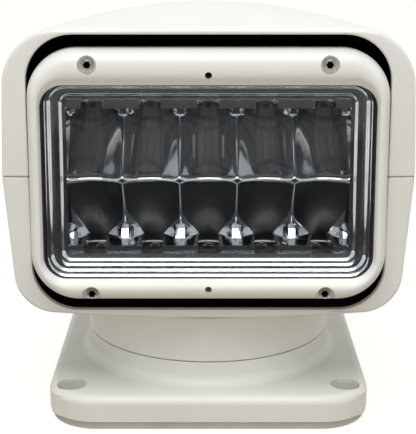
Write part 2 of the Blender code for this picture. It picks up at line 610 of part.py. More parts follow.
# Head shell
def quarter(width_seam, width_corner, level, sag, radius, seam, up):
    """Right half of one shell section from the seam to the middle, above (up=1) or below (up=-1) the seam."""
    corner = Vector((width_corner, level - up * sag))
    start = Vector((width_seam, seam))
    radius = min(radius, 0.8 * (start - corner).length)
    side = (start - corner).normalized()
    top = Vector((width_corner - radius, level - up * sag * ((width_corner - radius) / width_corner) ** 2))
    low = corner + side * radius
    points = [start.lerp(low, 0.0), start.lerp(low, 0.5)]
    kappa = 0.5523
    handle_a = low.lerp(corner, kappa)
    slope = sag * 2 * (width_corner - radius) / width_corner ** 2
    handle_b = top + Vector((radius * kappa, -up * slope * radius * kappa))
    for i in range(6):
        t = i / 5.0
        points.append(((1 - t) ** 3) * low + 3 * t * (1 - t) ** 2 * handle_a + 3 * t * t * (1 - t) * handle_b
                      + (t ** 3) * top)
    for i in range(1, 5):
        x = (width_corner - radius) * (1 - i / 4.0)
        points.append(Vector((x, level - up * sag * (x / width_corner) ** 2)))
    return points


def shell_section(station, inset, y):
    """Closed section of the head at one station, moved inwards by the inset."""
    _, w0, wt, zt, st, rt, wb, zb, sb, rb = station
    upper = quarter(w0 - inset, wt - inset, zt - inset, st, max(rt - inset, 3.0), SEAM_Z, 1)
    lower = quarter(w0 - inset, wb - inset, zb + inset, sb, max(rb - inset, 3.0), SEAM_Z, -1)
    right = [Vector((p.x, p.y)) for p in reversed(lower[1:])] + upper
    left = [Vector((-p.x, p.y)) for p in reversed(right[1:-1])]
    return [(p.x, y, p.y) for p in right + left]


def shell_loft(name, inset, front, back_shift, mat=None, cutter=False):
    """The head as one lofted body, or the hollow inside it."""
    sections = []
    for station in SHELL_STATIONS:
        y = station[0]
        if inset > 0.0:
            if y < front:
                continue
            y = y - back_shift * max(0.0, (y - 40.0) / (FRONT_REACH - 40.0))
        sections.append(shell_section(station, inset, y))
    return loft(name, sections, mat, cutter, pan_axis)


shell_hollow = shell_loft("shell_hollow", SHELL_WALL, -67.7, SHELL_WALL, cutter=True)
for v in shell_hollow.data.vertices:
    if v.co.y < -67.0 * MM:
        v.co.y = (SHELL_FRONT + FRONT_WALL) * MM
BLOCK = 1.3 * HEAD_HALF_X
opening_centre = (0.0, (OPEN_TOP + OPEN_BOTTOM) / 2.0)
opening = prism("opening", [rounded_rect(OPEN_HALF_X, (OPEN_TOP - OPEN_BOTTOM) / 2.0, OPEN_CORNER, 7,
                                         opening_centre)],
                SHELL_FRONT - 10.0, SHELL_FRONT + 10.0, 'Y', cutter=True, parent=pan_axis)
low_block = box("low_block", (-BLOCK, -BLOCK, 0.0), (BLOCK, BLOCK, SEAM_Z + SEAM_GAP / 2), cutter=True,
                parent=pan_axis)
high_block = box("high_block", (-BLOCK, -BLOCK, SEAM_Z - SEAM_GAP / 2), (BLOCK, BLOCK, HEAD_TOP + BLOCK),
                 cutter=True, parent=pan_axis)

shell_white = material("head shell white", WHITE, 0.0, 0.3)
upper_shell = shell_loft("upper_shell", 0.0, 0.0, 0.0, shell_white)
lower_shell = shell_loft("lower_shell", 0.0, 0.0, 0.0, material("lower shell white", WHITE, 0.0, 0.3))
cut(upper_shell, shell_hollow, low_block, opening)
cut(lower_shell, shell_hollow, high_block, opening)
post_spots = [(sx * x, y, foot_z) for x, y, foot_z in SHELL_POST for sx in (-1, 1)]
post_gap_high = SEAM_Z + SEAM_GAP / 2 + 0.2
post_gap_low = SEAM_Z - SEAM_GAP / 2 - 0.2
for n, spot in enumerate(post_spots):
    upper_post = prism("upper_post_%d" % n, [circle(SHELL_POST_R, 8, spot, math.pi / 8)], post_gap_high,
                       SEAM_Z + 14.0, cutter=True, parent=pan_axis)
    lower_post = prism("lower_post_%d" % n, [circle(SHELL_POST_R, 8, spot, math.pi / 8)], spot[2],
                       post_gap_low, cutter=True, parent=pan_axis)
    if abs(spot[0]) > 50.0:
        low = (min(spot[0], math.copysign(HEAD_HALF_X - 12.0, spot[0])), spot[1] - 1.1)
        high = (max(spot[0], math.copysign(HEAD_HALF_X - 12.0, spot[0])), spot[1] + 1.1)
    else:
        low = (spot[0] - 1.1, spot[1])
        high = (spot[0] + 1.1, FRONT_REACH - SHELL_WALL * 0.6)
    upper_rib = box("upper_rib_%d" % n, low + (post_gap_high + 1.0,), high + (SEAM_Z + 12.0,), cutter=True,
                    parent=pan_axis)
    lower_rib = box("lower_rib_%d" % n, low + (SHELL_SCREW_SEAT + 3.0,), high + (post_gap_low - 1.0,),
                    cutter=True, parent=pan_axis)
    join(upper_shell, upper_post, upper_rib)
    join(lower_shell, lower_post, lower_rib)
for n, spot in enumerate(post_spots):
    bore = [(0.0, SEAM_Z + 11.0), (SCREW_HOLE_R, SEAM_Z + 11.0), (SCREW_HOLE_R, SHELL_SCREW_SEAT),
            (SCREW_HEAD_R + 0.5, SHELL_SCREW_SEAT), (SCREW_HEAD_R + 0.5, UNDER_FLOOR), (0.0, UNDER_FLOOR)]
    drill = turned("shell_drill_%d" % n, bore, 8, centre=spot[:2], cutter=True, parent=pan_axis)
    cut(upper_shell, drill)
    cut(lower_shell, drill)
    head = SHELL_SCREW_SEAT - GAP
    body = [(0.0, SEAM_Z + 9.0), (SCREW_R, SEAM_Z + 9.0), (SCREW_R, head), (SCREW_HEAD_R, head),
            (SCREW_HEAD_R, head - SCREW_HEAD_T), (0.0, head - SCREW_HEAD_T)]
    turned("shell_screw_%d" % (n + 1), body, 10, centre=spot[:2], mat=screw_steel, parent=pan_axis)

for n, spot in enumerate(CHASSIS_SCREWS):
    post = prism("floor_post_%d" % n, [circle(CHASSIS_POST_R, 8, spot)], SHELL_BOTTOM + 1.0,
                 CHASSIS_BOTTOM - GAP, cutter=True, parent=pan_axis)
    join(lower_shell, post)
for n, spot in enumerate(CHASSIS_SCREWS):
    cut(lower_shell, prism("floor_hole_%d" % n, [circle(SCREW_HOLE_R, 8, spot)], UNDER_FLOOR, OVER_CHASSIS,
                           cutter=True, parent=pan_axis))
cut(lower_shell, prism("nut_clear", [circle(NUT_CLEAR_R, 24)], UNDER_FLOOR, OVER_FLOOR, cutter=True,
                       parent=pan_axis))
cut(lower_shell, prism("shaft_clear", [circle(SHAFT_CLEAR_R, 16, PAN_PINION_XY)], UNDER_FLOOR, OVER_FLOOR,
                       cutter=True, parent=pan_axis))

outer_path = []
inner_path = []
for station in SHELL_STATIONS[1:-1]:
    outer_path.append((station[1] - 0.6, max(station[0], SHELL_FRONT + 0.6)))
    inner_path.append((station[1] - SHELL_WALL + 0.3, max(station[0] - 0.1, SHELL_FRONT + FRONT_WALL + 0.2)))
inner_path = [p for p in inner_path if p[1] > SHELL_FRONT + FRONT_WALL + 0.25 or p is inner_path[0]]
back_y = SHELL_STATIONS[-1][0]
outer_path.append((SHELL_STATIONS[-1][1], back_y - 0.6))
inner_path.append((SHELL_STATIONS[-1][1] - 2.0, back_y - SHELL_WALL + 0.4))
lip = OPEN_HALF_X + 0.6
right_out = [(lip, SHELL_FRONT + 0.6)] + outer_path
right_in = [(lip, SHELL_FRONT + FRONT_WALL + 0.2 - 0.5)] + inner_path
seam_loop = right_out + [(-x, y) for x, y in reversed(right_out)] + [(-x, y) for x, y in right_in] \
    + list(reversed(right_in))
prism("seam_gasket", [seam_loop], SEAM_Z - SEAM_GAP / 2 + GAP, SEAM_Z + SEAM_GAP / 2 - GAP,
      mat=material("seam rubber", (0.05, 0.05, 0.05), 0.0, 0.7), parent=pan_axis)

# Yoke chassis and its fittings
arm_top = TILT_Z + CHASSIS_EAR_R
yoke_out = YOKE_X + SHEET_T
rise = yoke_out - YOKE_FLAT_X
inner_flat = YOKE_FLAT_X - SHEET_T * (math.sqrt(2) - 1)
inner_rise = YOKE_X - inner_flat
yoke_right = [(YOKE_FLAT_X, CHASSIS_BOTTOM), (yoke_out, CHASSIS_BOTTOM + rise), (yoke_out, arm_top),
              (YOKE_X, arm_top), (YOKE_X, CHASSIS_TOP + inner_rise), (inner_flat, CHASSIS_TOP)]
yoke_loop = yoke_right + [(-x, z) for x, z in reversed(yoke_right)]
chassis = prism("chassis", [yoke_loop], -50.0, CHASSIS_BACK, 'Y',
                mat=material("chassis zinc plated", STEEL, 1.0, 0.4), parent=pan_axis)
boss_arc = [(TILT_Y + CHASSIS_EAR_R * math.cos(math.radians(a)), TILT_Z + CHASSIS_EAR_R
             * math.sin(math.radians(a))) for a in range(-10, 221, 21)]
side_back = CHASSIS_BACK + 0.5
side_loop = boss_arc + [(-22.0, CHASSIS_BOTTOM + 20.0), (-22.0, UNDER_CHASSIS), (side_back, UNDER_CHASSIS),
                        (side_back, CHASSIS_BOTTOM + 8.0), (30.0, CHASSIS_BOTTOM + 8.0),
                        (22.0, CHASSIS_BOTTOM + 26.0)]
side_mask = prism("side_mask", [side_loop], -100.0, 100.0, 'X', cutter=True, parent=pan_axis)
boolean(chassis, side_mask, 'INTERSECT')
rear_flange = box("rear_flange", (-REAR_FLANGE_HALF_X, CHASSIS_BACK - SHEET_T, CHASSIS_BOTTOM + 0.5),
                  (REAR_FLANGE_HALF_X, CHASSIS_BACK, CHASSIS_BOTTOM + 46.0), cutter=True, parent=pan_axis)
join(chassis, rear_flange)
bush_hole = prism("bush_hole", [circle(BUSH_R + GAP, 20, (TILT_Y, TILT_Z))], -100.0, 100.0, 'X', cutter=True,
                  parent=pan_axis)
wire_hole = prism("wire_hole", [circle(8.0, 16)], UNDER_CHASSIS, OVER_CHASSIS, cutter=True, parent=pan_axis)
shaft_hole = prism("shaft_hole", [circle(6.0, 20, PAN_PINION_XY)], UNDER_CHASSIS, OVER_CHASSIS, cutter=True,
                   parent=pan_axis)
cut(chassis, bush_hole, wire_hole, shaft_hole)
for sign in (-1, 1):
    near = sign * (YOKE_FLAT_X - 14.0)
    far = sign * (yoke_out + 10.0)
    low = (min(near, far), CHASSIS_BACK - 18.0, UNDER_CHASSIS)
    high = (max(near, far), CHASSIS_BACK + 12.0, CHASSIS_BOTTOM + 22.0)
    cut(chassis, box("chassis_corner_%d" % sign, low, high, cutter=True, parent=pan_axis))
for n, spot in enumerate(CHASSIS_SCREWS):
    cut(chassis, prism("chassis_hole_%d" % n, [circle(SCREW_HOLE_R, 8, spot)], UNDER_CHASSIS, OVER_CHASSIS,
                       cutter=True, parent=pan_axis))
    head = CHASSIS_TOP + GAP
    body = [(0.0, head + SCREW_HEAD_T), (SCREW_HEAD_R, head + SCREW_HEAD_T), (SCREW_HEAD_R, head),
            (SCREW_R, head), (SCREW_R, COLLAR_FLOOR + 0.5), (0.0, COLLAR_FLOOR + 0.5)]
    turned("chassis_screw_%d" % (n + 1), body, 10, centre=spot, mat=screw_steel, parent=pan_axis)

foot_low = CHASSIS_TOP + GAP
FOOT_T = 2.5
BRACKET_SCREWS = [(SHOULDER_IN - 16.8, y) for y in (15.0, 31.0)]
bracket_top = TILT_Z + 15.5
bracket_loop = [(SHOULDER_OUT, bracket_top), (SHOULDER_IN, bracket_top), (SHOULDER_IN, foot_low + 10.6),
                (SHOULDER_IN - 7.9, foot_low + FOOT_T), (SHOULDER_IN - 21.2, foot_low + FOOT_T),
                (SHOULDER_IN - 21.2, foot_low), (SHOULDER_IN - 6.9, foot_low), (SHOULDER_OUT, foot_low + 9.9)]
tilt_bracket = prism("tilt_bracket", [bracket_loop], 9.0, 37.0, 'Y',
                     mat=material("bracket zinc plated", STEEL, 1.0, 0.4), parent=pan_axis)
cut(tilt_bracket, prism("motor_shaft_hole", [circle(5.0, 20, (TILT_PINION_Y, TILT_Z))], SHOULDER_IN - 10.0,
                        SHOULDER_OUT + 10.0, 'X', cutter=True, parent=pan_axis))
for n, spot in enumerate(BRACKET_SCREWS):
    drill = prism("bracket_hole_%d" % n, [circle(SCREW_HOLE_R, 8, spot)], UNDER_CHASSIS, OVER_CHASSIS,
                  cutter=True, parent=pan_axis)
    cut(tilt_bracket, drill)
    cut(chassis, drill)
    head = foot_low + FOOT_T + GAP
    body = [(0.0, head + SCREW_HEAD_T), (SCREW_HEAD_R, head + SCREW_HEAD_T), (SCREW_HEAD_R, head),
            (SCREW_R, head), (SCREW_R, CHASSIS_BOTTOM - 1.2), (0.0, CHASSIS_BOTTOM - 1.2)]
    turned("bracket_screw_%d" % (n + 1), body, 10, centre=spot, mat=screw_steel, parent=pan_axis)

motor_face = SHOULDER_IN - GAP
tilt_motor_profile = [(0.0, SECTOR_OUT), (SHAFT_R, SECTOR_OUT), (SHAFT_R, motor_face), (MOTOR_R - 1.0,
                                                                                        motor_face),
                      (MOTOR_R - 1.0, motor_face - 22.0), (MOTOR_CAN_R, motor_face - 22.0),
                      (MOTOR_CAN_R, motor_face - 45.0), (MOTOR_CAN_R - 1.0, motor_face - 46.0),
                      (2.0, motor_face - 46.0), (2.0, motor_face - 48.0), (0.0, motor_face - 48.0)]
turned("tilt_motor", tilt_motor_profile, 18, 'X', (TILT_PINION_Y, TILT_Z),
       material("tilt motor zinc", STEEL, 1.0, 0.45), parent=pan_axis)
tilt_pitch = GEAR_MODULE * TILT_PINION_TEETH / 2.0
tilt_phase = math.pi + math.pi / TILT_PINION_TEETH
prism("tilt_pinion", [gear_teeth(TILT_PINION_TEETH, TILT_PINION_TEETH, tilt_pitch + GEAR_MODULE,
                                 tilt_pitch - 1.25 * GEAR_MODULE, tilt_phase),
                      circle(PINION_BORE, 16)],
      SECTOR_IN, SECTOR_OUT, 'X', material("tilt pinion steel", STEEL, 1.0, 0.35),
      parent=tilt_pinion_axis)

bush_out = BUSH_IN + BUSH_FLANGE_T
bush_end = YOKE_X + SHEET_T + 0.6
for side, sign in (("left", -1), ("right", 1)):
    sleeve = [(BUSH_R, sign * bush_end), (BUSH_R, sign * bush_out), (BUSH_FLANGE_R, sign * bush_out),
              (BUSH_FLANGE_R, sign * BUSH_IN), (TRUNNION_R + GAP, sign * BUSH_IN),
              (TRUNNION_R + GAP, sign * bush_end)]
    bush_mat = material("bush bronze " + side, BRASS_RGB, 1.0, 0.35)
    turned("tilt_bush_" + side, sleeve, 16, 'X', (TILT_Y, TILT_Z), bush_mat, parent=pan_axis, closed=True)

board_front = CHASSIS_BACK + GAP
box("control_board", (-40.0, board_front, CHASSIS_BOTTOM + 8.0),
    (40.0, board_front + BOARD_T, CHASSIS_BOTTOM + 42.0),
    material("board green", (0.05, 0.25, 0.12), 0.0, 0.5), parent=pan_axis)


# Lamp: everything below turns on the tilt axis
def ring_section(half_x, half_z, dz, radius, y, steps=5):
    """Rounded rectangle section of the lamp at one depth."""
    return [(x, y, z) for x, z in rounded_rect(half_x, half_z, radius, steps, (0.0, dz))]


bezel_rings = [ring_section(half_x, half_z, dz, radius, y) for half_x, half_z, dz, radius, y in BEZEL_RINGS]
lamp_bezel = loft("lamp_bezel", bezel_rings, material("bezel white", WHITE, 0.0, 0.3), parent=tilt_axis,
                  ring=True)
bezel_spots = [(sx * BEZEL_SCREW_X, z) for z in BEZEL_SCREW_Z for sx in (-1, 1)]
lug_front = BEZEL_BACK + GAP
for n, spot in enumerate(bezel_spots):
    bore = [(0.0, BEZEL_CUT_FRONT), (BEZEL_CBORE_R, BEZEL_CUT_FRONT), (BEZEL_CBORE_R, BEZEL_CBORE_SEAT),
            (SCREW_HOLE_R, BEZEL_CBORE_SEAT), (SCREW_HOLE_R, LUG_BACK + 2.0), (0.0, LUG_BACK + 2.0)]
    cut(lamp_bezel, turned("bezel_bore_%d" % n, bore, 14, 'Y', spot, cutter=True, parent=tilt_axis))
    head = BEZEL_CBORE_SEAT - GAP
    body = [(0.0, head - SCREW_HEAD_T), (SCREW_HEAD_R - 0.5, head - SCREW_HEAD_T), (SCREW_HEAD_R, head - 1.6),
            (SCREW_HEAD_R, head), (SCREW_R, head), (SCREW_R, LUG_BACK - 1.5), (0.0, LUG_BACK - 1.5)]
    turned("bezel_screw_%d" % (n + 1), body, 12, 'Y', spot, screw_steel, parent=tilt_axis)
for n, dz in enumerate((FACE_DZ + DRAIN_DZ, FACE_DZ - DRAIN_DZ)):
    cut(lamp_bezel, prism("drain_%d" % n, [circle(DRAIN_R, 12, (0.0, dz))], BEZEL_CUT_FRONT, BEZEL_BACK + 3.0, 'Y',
                          cutter=True, parent=tilt_axis))

lens_half_x = RECESS_HALF_X - GAP
lens_half_z = RECESS_HALF_Z - GAP
lens_corner = RECESS_CORNER - GAP
face_loop = rounded_rect(lens_half_x, lens_half_z, lens_corner, 5, (0.0, FACE_DZ))
prism("lens", [face_loop], LENS_FRONT, LENS_BACK, 'Y', material("lens clear", (0.9, 0.93, 0.95), 0.0, 0.05),
      parent=tilt_axis)
window_loop = rounded_rect(WINDOW_HALF_X + 0.2, WINDOW_HALF_Z + 0.2, WINDOW_CORNER, 5, (0.0, FACE_DZ))
prism("lens_gasket", [face_loop, window_loop], LENS_GASKET_FRONT, LENS_GASKET_BACK, 'Y',
      material("lens gasket rubber", BLACK, 0.0, 0.7), parent=tilt_axis)

# reflector: a flanged block with a stepped frame and two rows of half bowls that meet in a scalloped ridge
flange_back = REFLECTOR_FRONT + REFLECTOR_FLANGE_T
array_half_x = CELL_W * CELL_COLS / 2.0
block_half_z = CELL_H + REFLECTOR_WALL
reflector = loft("reflector", [
    ring_section(REFLECTOR_HALF_X, block_half_z, FACE_DZ, 2.5, REFLECTOR_BACK),
    ring_section(REFLECTOR_HALF_X, block_half_z, FACE_DZ, 2.5, flange_back),
    ring_section(lens_half_x, lens_half_z, FACE_DZ, lens_corner, flange_back),
    ring_section(lens_half_x, lens_half_z, FACE_DZ, lens_corner, REFLECTOR_FRONT),
], material("reflector chrome", (0.9, 0.9, 0.9), 1.0, 0.05), parent=tilt_axis)
# stepped frame of the reflector: inset across, inset up, corner radius, depth behind its front
FRAME_STEPS = ((0.4, 0.4, 8.6, -2.0), (1.0, 0.9, 8.2, 0.8), (2.6, 2.2, 7.2, 0.8), (3.2, 2.8, 6.6, 1.9),
               (4.8, 4.2, 5.6, 1.9))
steps = [ring_section(WINDOW_HALF_X - x, WINDOW_HALF_Z - z, FACE_DZ, r, REFLECTOR_FRONT + d)
         for x, z, r, d in FRAME_STEPS]
steps.append(ring_section(array_half_x + 0.6, CELL_H + 0.6, FACE_DZ, 2.4, REFLECTOR_FRONT + 3.4))
steps.append(ring_section(array_half_x - 0.5, CELL_H - 0.5, FACE_DZ, 1.4, REFLECTOR_FRONT + 3.4))
steps.append(ring_section(array_half_x - 0.5, CELL_H - 0.5, FACE_DZ, 1.4, REFLECTOR_FRONT - 2.0))
stepped_frame = loft("stepped_frame", steps, cutter=True, parent=tilt_axis, ring=True)


def bowl_depth(x, z):
    """Depth of the mirrored surface: a half paraboloid in every cell, its axis in the upper or lower wall."""
    column = min(CELL_COLS - 1, max(0, int((x + array_half_x) / CELL_W)))
    centre = -array_half_x + (column + 0.5) * CELL_W
    wall = CELL_TOP if z >= FACE_DZ else CELL_BOTTOM
    return BOWL_BACK - ((x - centre) ** 2 + (z - wall) ** 2) / BOWL_4F


BOWL_STEPS = 6
bowl_sections = []
for i in range(CELL_COLS * BOWL_STEPS + 1):
    x = -array_half_x + i * CELL_W / BOWL_STEPS
    inside = x if i % BOWL_STEPS else x - math.copysign(1e-6, x)
    back = []
    for j in range(2 * BOWL_STEPS + 1):
        z = CELL_BOTTOM + j * CELL_H / BOWL_STEPS
        back.append((x, bowl_depth(inside, z), z))
    mouth = REFLECTOR_FRONT - 3.0
    bowl_sections.append([(x, mouth, CELL_BOTTOM)] + back + [(x, mouth, CELL_TOP)])
bowl_field = loft("bowl_field", bowl_sections, cutter=True, parent=tilt_axis)
relief_half_z = 0.6 * CELL_H
relief_loop = [(REFLECTOR_BACK + 1.0, FACE_DZ - relief_half_z), (REFLECTOR_BACK + 1.0, FACE_DZ + relief_half_z),
               (RIDGE_Y + 8.2, FACE_DZ)]
back_relief = prism("back_relief", [relief_loop], -array_half_x - 0.4, array_half_x + 0.4, 'X', cutter=True,
                    parent=tilt_axis)
cell_centres = [-array_half_x + (i + 0.5) * CELL_W for i in range(CELL_COLS)]
half_window = LED_WINDOW / 2.0
window_loops = [[(x - half_window, LED_Y - half_window), (x + half_window, LED_Y - half_window),
                 (x + half_window, LED_Y + half_window), (x - half_window, LED_Y + half_window)]
                for x in cell_centres]
upper_windows = prism("upper_windows", window_loops, CELL_TOP - 1.0, CELL_TOP + 4.0, cutter=True,
                      parent=tilt_axis)
lower_windows = prism("lower_windows", window_loops, CELL_BOTTOM - 4.0, CELL_BOTTOM + 1.0, cutter=True,
                      parent=tilt_axis)
cut(reflector, stepped_frame, bowl_field, back_relief, upper_windows, lower_windows)

board_rgb = (0.8, 0.8, 0.78)
led_number = 0
for row, sign in (("upper", 1), ("lower", -1)):
    inner = FACE_DZ + sign * BOARD_IN
    outer = inner + sign * BOARD_T
    box("led_board_" + row, (3.0 - REFLECTOR_HALF_X, -32.5, min(inner, outer)),
        (REFLECTOR_HALF_X - 3.0, -8.6, max(inner, outer)),
        material("led board " + row, board_rgb, 0.0, 0.4), parent=tilt_axis)
    seat = inner - sign * GAP
    for x in cell_centres:
        led_number += 1
        dome = [(2.0 * math.sin(math.radians(a)), seat - sign * (1.0 + 1.9 * math.cos(math.radians(a))))
                for a in (0.0, 30.0, 60.0, 88.0)]
        dome[0] = (0.0, dome[0][1])
        profile = dome + [(2.9, seat - sign * 1.0), (2.9, seat), (0.0, seat)]
        turned("led_%02d" % led_number, profile, 12, centre=(x, LED_Y),
               mat=material("led phosphor %02d" % led_number, (0.9, 0.85, 0.3), 0.0, 0.3), parent=tilt_axis)

housing = prism("lamp_housing", [rounded_rect(HOUSING_HALF_X, HOUSING_HALF_Z, 8.0, 3, (0.0, FACE_DZ))],
                HOUSING_FRONT + 1.0, HOUSING_BACK, 'Y', material("housing black anodised", BLACK, 0.6, 0.4),
                parent=tilt_axis)
housing_flange = prism("housing_flange", [face_loop], HOUSING_FRONT, HOUSING_FRONT + 3.0, 'Y', cutter=True,
                       parent=tilt_axis)
fin_block = prism("fin_block", [rounded_rect(FIN_HALF_X, FIN_HALF_Z, 4.0, 3, (0.0, FACE_DZ))],
                  HOUSING_BACK - 1.0, FIN_BACK, 'Y', cutter=True, parent=tilt_axis)
join(housing, housing_flange, fin_block)
for n, (x, z) in enumerate(bezel_spots):
    up = 1 if z > 0 else -1
    root = FACE_DZ + up * (HOUSING_HALF_Z - 2.0)
    lug_loop = [(x - 4.4, root), (x + 4.4, root), (x + 4.4, z), (x + 2.8, z + up * 3.0),
                (x - 2.8, z + up * 3.0), (x - 4.4, z)]
    join(housing, prism("screw_lug_%d" % n, [lug_loop], lug_front, LUG_BACK, 'Y', cutter=True,
                        parent=tilt_axis))
for n, spot in enumerate(bezel_spots):
    cut(housing, prism("lug_pilot_%d" % n, [circle(SCREW_HOLE_R, 8, spot)], lug_front - 2.0, LUG_BACK + 2.0,
                       'Y', cutter=True, parent=tilt_axis))
cavity = prism("cavity", [rounded_rect(REFLECTOR_HALF_X + GAP, FACE_CAVITY_Z, 2.6, 3, (0.0, FACE_DZ))],
               HOUSING_FRONT - 2.0, CAVITY_BACK, 'Y', cutter=True, parent=tilt_axis)
slot_loops = []
for i in range(FIN_SLOTS):
    x = (i - (FIN_SLOTS - 1) / 2.0) * FIN_PITCH
    slot_loops.append([(x - FIN_SLOT / 2, 1.0), (x + FIN_SLOT / 2, 1.0), (x + FIN_SLOT / 2, FIN_BACK + 8.0),
                       (x - FIN_SLOT / 2, FIN_BACK + 8.0)])
slots = prism("fin_slots", slot_loops, FACE_DZ - HOUSING_HALF_Z - 10.0, FACE_DZ + HOUSING_HALF_Z + 10.0, cutter=True, parent=tilt_axis)
cut(housing, cavity, slots)
for sign in (-1, 1):
    socket_in = sign * (TRUNNION_IN - GAP)
    socket_out = sign * (HOUSING_HALF_X + 10.0)
    socket = [(0.0, socket_in), (TRUNNION_R + GAP, socket_in), (TRUNNION_R + GAP, socket_out),
              (0.0, socket_out)]
    cut(housing, turned("trunnion_socket_%d" % sign, socket, 20, 'X', cutter=True, parent=tilt_axis))
gland_y = -2.8
gland_seat = FACE_DZ - HOUSING_HALF_Z - GAP
cut(housing, prism("gland_bore", [circle(4.3, 16, (0.0, gland_y))], gland_seat - 2.0, gland_seat + 9.0,
                   cutter=True, parent=tilt_axis))
gland_profile = [(0.0, gland_seat + 8.0), (4.0, gland_seat + 8.0), (4.0, gland_seat), (6.2, gland_seat),
                 (6.2, gland_seat - 3.0), (4.6, gland_seat - 3.0), (4.6, gland_seat - 8.0),
                 (0.0, gland_seat - 8.0)]
gland_mat = material("lamp gland black", BLACK, 0.0, 0.5)
turned("lamp_gland", gland_profile, 12, centre=(0.0, gland_y), mat=gland_mat, parent=tilt_axis)

trunnion_mat = material("trunnion steel", STEEL, 1.0, 0.3)
for side, sign, shoulder in (("left", -1, SECTOR_OUT), ("right", 1, SHOULDER_OUT)):
    pin = [(0.0, sign * TRUNNION_IN), (TRUNNION_R, sign * TRUNNION_IN), (TRUNNION_R, sign * SHOULDER_IN),
           (TRUNNION_SHOULDER_R, sign * SHOULDER_IN), (TRUNNION_SHOULDER_R, sign * shoulder),
           (TRUNNION_R, sign * shoulder), (TRUNNION_R, sign * (TRUNNION_END - 0.8)),
           (TRUNNION_R - 0.8, sign * TRUNNION_END), (0.0, sign * TRUNNION_END)]
    turned("trunnion_" + side, pin, 16, 'X', mat=trunnion_mat, parent=tilt_axis)

sector_pitch = GEAR_MODULE * SECTOR_TEETH_FULL / 2.0
tooth_angle = 2 * math.pi / SECTOR_TEETH_FULL
first_tooth = REST_TILT - ((SECTOR_TEETH + 1) // 2) * tooth_angle
sector_root = sector_pitch - 1.25 * GEAR_MODULE
sector_outline = gear_teeth(SECTOR_TEETH_FULL, SECTOR_TEETH, sector_pitch + GEAR_MODULE, sector_root,
                            first_tooth)
end_angle = first_tooth + (SECTOR_TEETH - 0.3) * tooth_angle
sector_outline = [(sector_root * math.cos(first_tooth - 0.7 * tooth_angle),
                   sector_root * math.sin(first_tooth - 0.7 * tooth_angle))] + sector_outline
sector_outline.append((sector_root * math.cos(end_angle), sector_root * math.sin(end_angle)))
sector_outline += circle(TRUNNION_SHOULDER_R + 1.0, 24)[6:19]
light_hole = [(r * math.cos(math.radians(a)), r * math.sin(math.radians(a)))
              for r, angles in ((38.0, (-16, -8, 0, 8, 16)), (20.0, (16, 0, -16))) for a in angles]
turned_hole = circle(TRUNNION_R + GAP, 24)
prism("tilt_sector", [sector_outline, light_hole, turned_hole], SECTOR_IN, SECTOR_OUT, 'X',
      material("sector steel", STEEL, 1.0, 0.35), parent=tilt_axis)
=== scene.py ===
"""Marine searchlight: the visible pieces, finishes and stage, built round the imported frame."""

import math

import bmesh
import bpy
from bpy.props import FloatProperty, FloatVectorProperty, IntProperty, PointerProperty
from mathutils import Matrix, Vector


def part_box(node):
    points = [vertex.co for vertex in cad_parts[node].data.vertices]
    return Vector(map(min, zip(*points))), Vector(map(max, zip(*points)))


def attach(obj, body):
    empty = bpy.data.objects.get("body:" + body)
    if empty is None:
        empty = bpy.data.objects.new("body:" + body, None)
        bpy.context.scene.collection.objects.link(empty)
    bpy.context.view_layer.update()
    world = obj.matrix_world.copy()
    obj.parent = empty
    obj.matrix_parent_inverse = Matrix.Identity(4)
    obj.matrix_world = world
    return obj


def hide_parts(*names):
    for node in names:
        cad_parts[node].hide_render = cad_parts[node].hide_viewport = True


bl_info = {
    "name": "Marine searchlight",
    "version": (1, 0, 0),
    "blender": (4, 5, 0),
    "location": "3D View > Sidebar > Searchlight",
    "description": "Builds the pieces, finishes and stage of a deck mounted searchlight",
    "category": "Add Mesh",
}

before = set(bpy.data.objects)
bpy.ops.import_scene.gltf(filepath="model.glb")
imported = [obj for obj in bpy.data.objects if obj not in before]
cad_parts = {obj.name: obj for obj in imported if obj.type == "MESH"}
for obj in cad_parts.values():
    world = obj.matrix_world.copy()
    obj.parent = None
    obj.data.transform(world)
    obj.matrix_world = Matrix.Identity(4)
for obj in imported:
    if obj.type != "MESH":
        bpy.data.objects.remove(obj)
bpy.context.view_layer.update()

# Sizes in millimetres. They follow the construction; those marked as shown only differ from it.
MM = 0.001
GAP = 0.3
PLATE_HALF = 77.0
PLATE_CORNER = 24.0
PLATE_BOTTOM = 3.9
PLATE_TOP = 16.6
PLATE_EDGE = 4.2
PLATE_WALL = 3.2
PAD_TOP = 3.6
PAD_INSET = 1.5
PAD_OPENING_R = 24.0
BOLTS = [(sx * 65.5, sy * 60.5) for sx in (-1, 1) for sy in (-1, 1)]
BOLT_CBORE_R = 7.1
BOLT_HOLE_R = 3.5
BOLT_SEAT_Z = 8.4
BOSS_R = 62.0
BOSS_TOP = 28.0
BOSS_FOOT = 5.0
BOSS_WALL = 4.0
HUB_R = 26.0
HUB_BOTTOM = 13.4
WEB_BOTTOM = 24.4
SPINDLE_HOLE_R = 10.3
STOP_HALF = 2.0
STOP_IN = 50.0
STOP_OUT = 55.0
TOP_EDGE = 0.7
COLLAR_BOTTOM = 28.4
COLLAR_TOP = 50.5
COLLAR_WALL = 3.5
COLLAR_FLOOR = 43.9
COLLAR_FLOOR_TOP = 47.9
SEAM_Z = 121.0
SEAM_GAP = 1.2
# shown only: the seam is finer than the gap of the construction
SEAM_SHOWN = 0.6
SHELL_FRONT = -70.0
SHELL_WALL = 3.0
FRONT_WALL = 3.6
HEAD_HALF_X = 93.6
HEAD_TOP = 194.4
SHELL_BOTTOM = COLLAR_TOP + GAP
OPEN_HALF_X = HEAD_HALF_X - 12.6
OPEN_TOP = HEAD_TOP - 9.7
OPEN_BOTTOM = SHELL_BOTTOM + 6.8
OPEN_CORNER = 21.0
SHELL_POSTS = ((HEAD_HALF_X - 25.6, 49.0, 54.0), (30.0, 68.5, 62.5))
SHELL_POST_R = 4.6
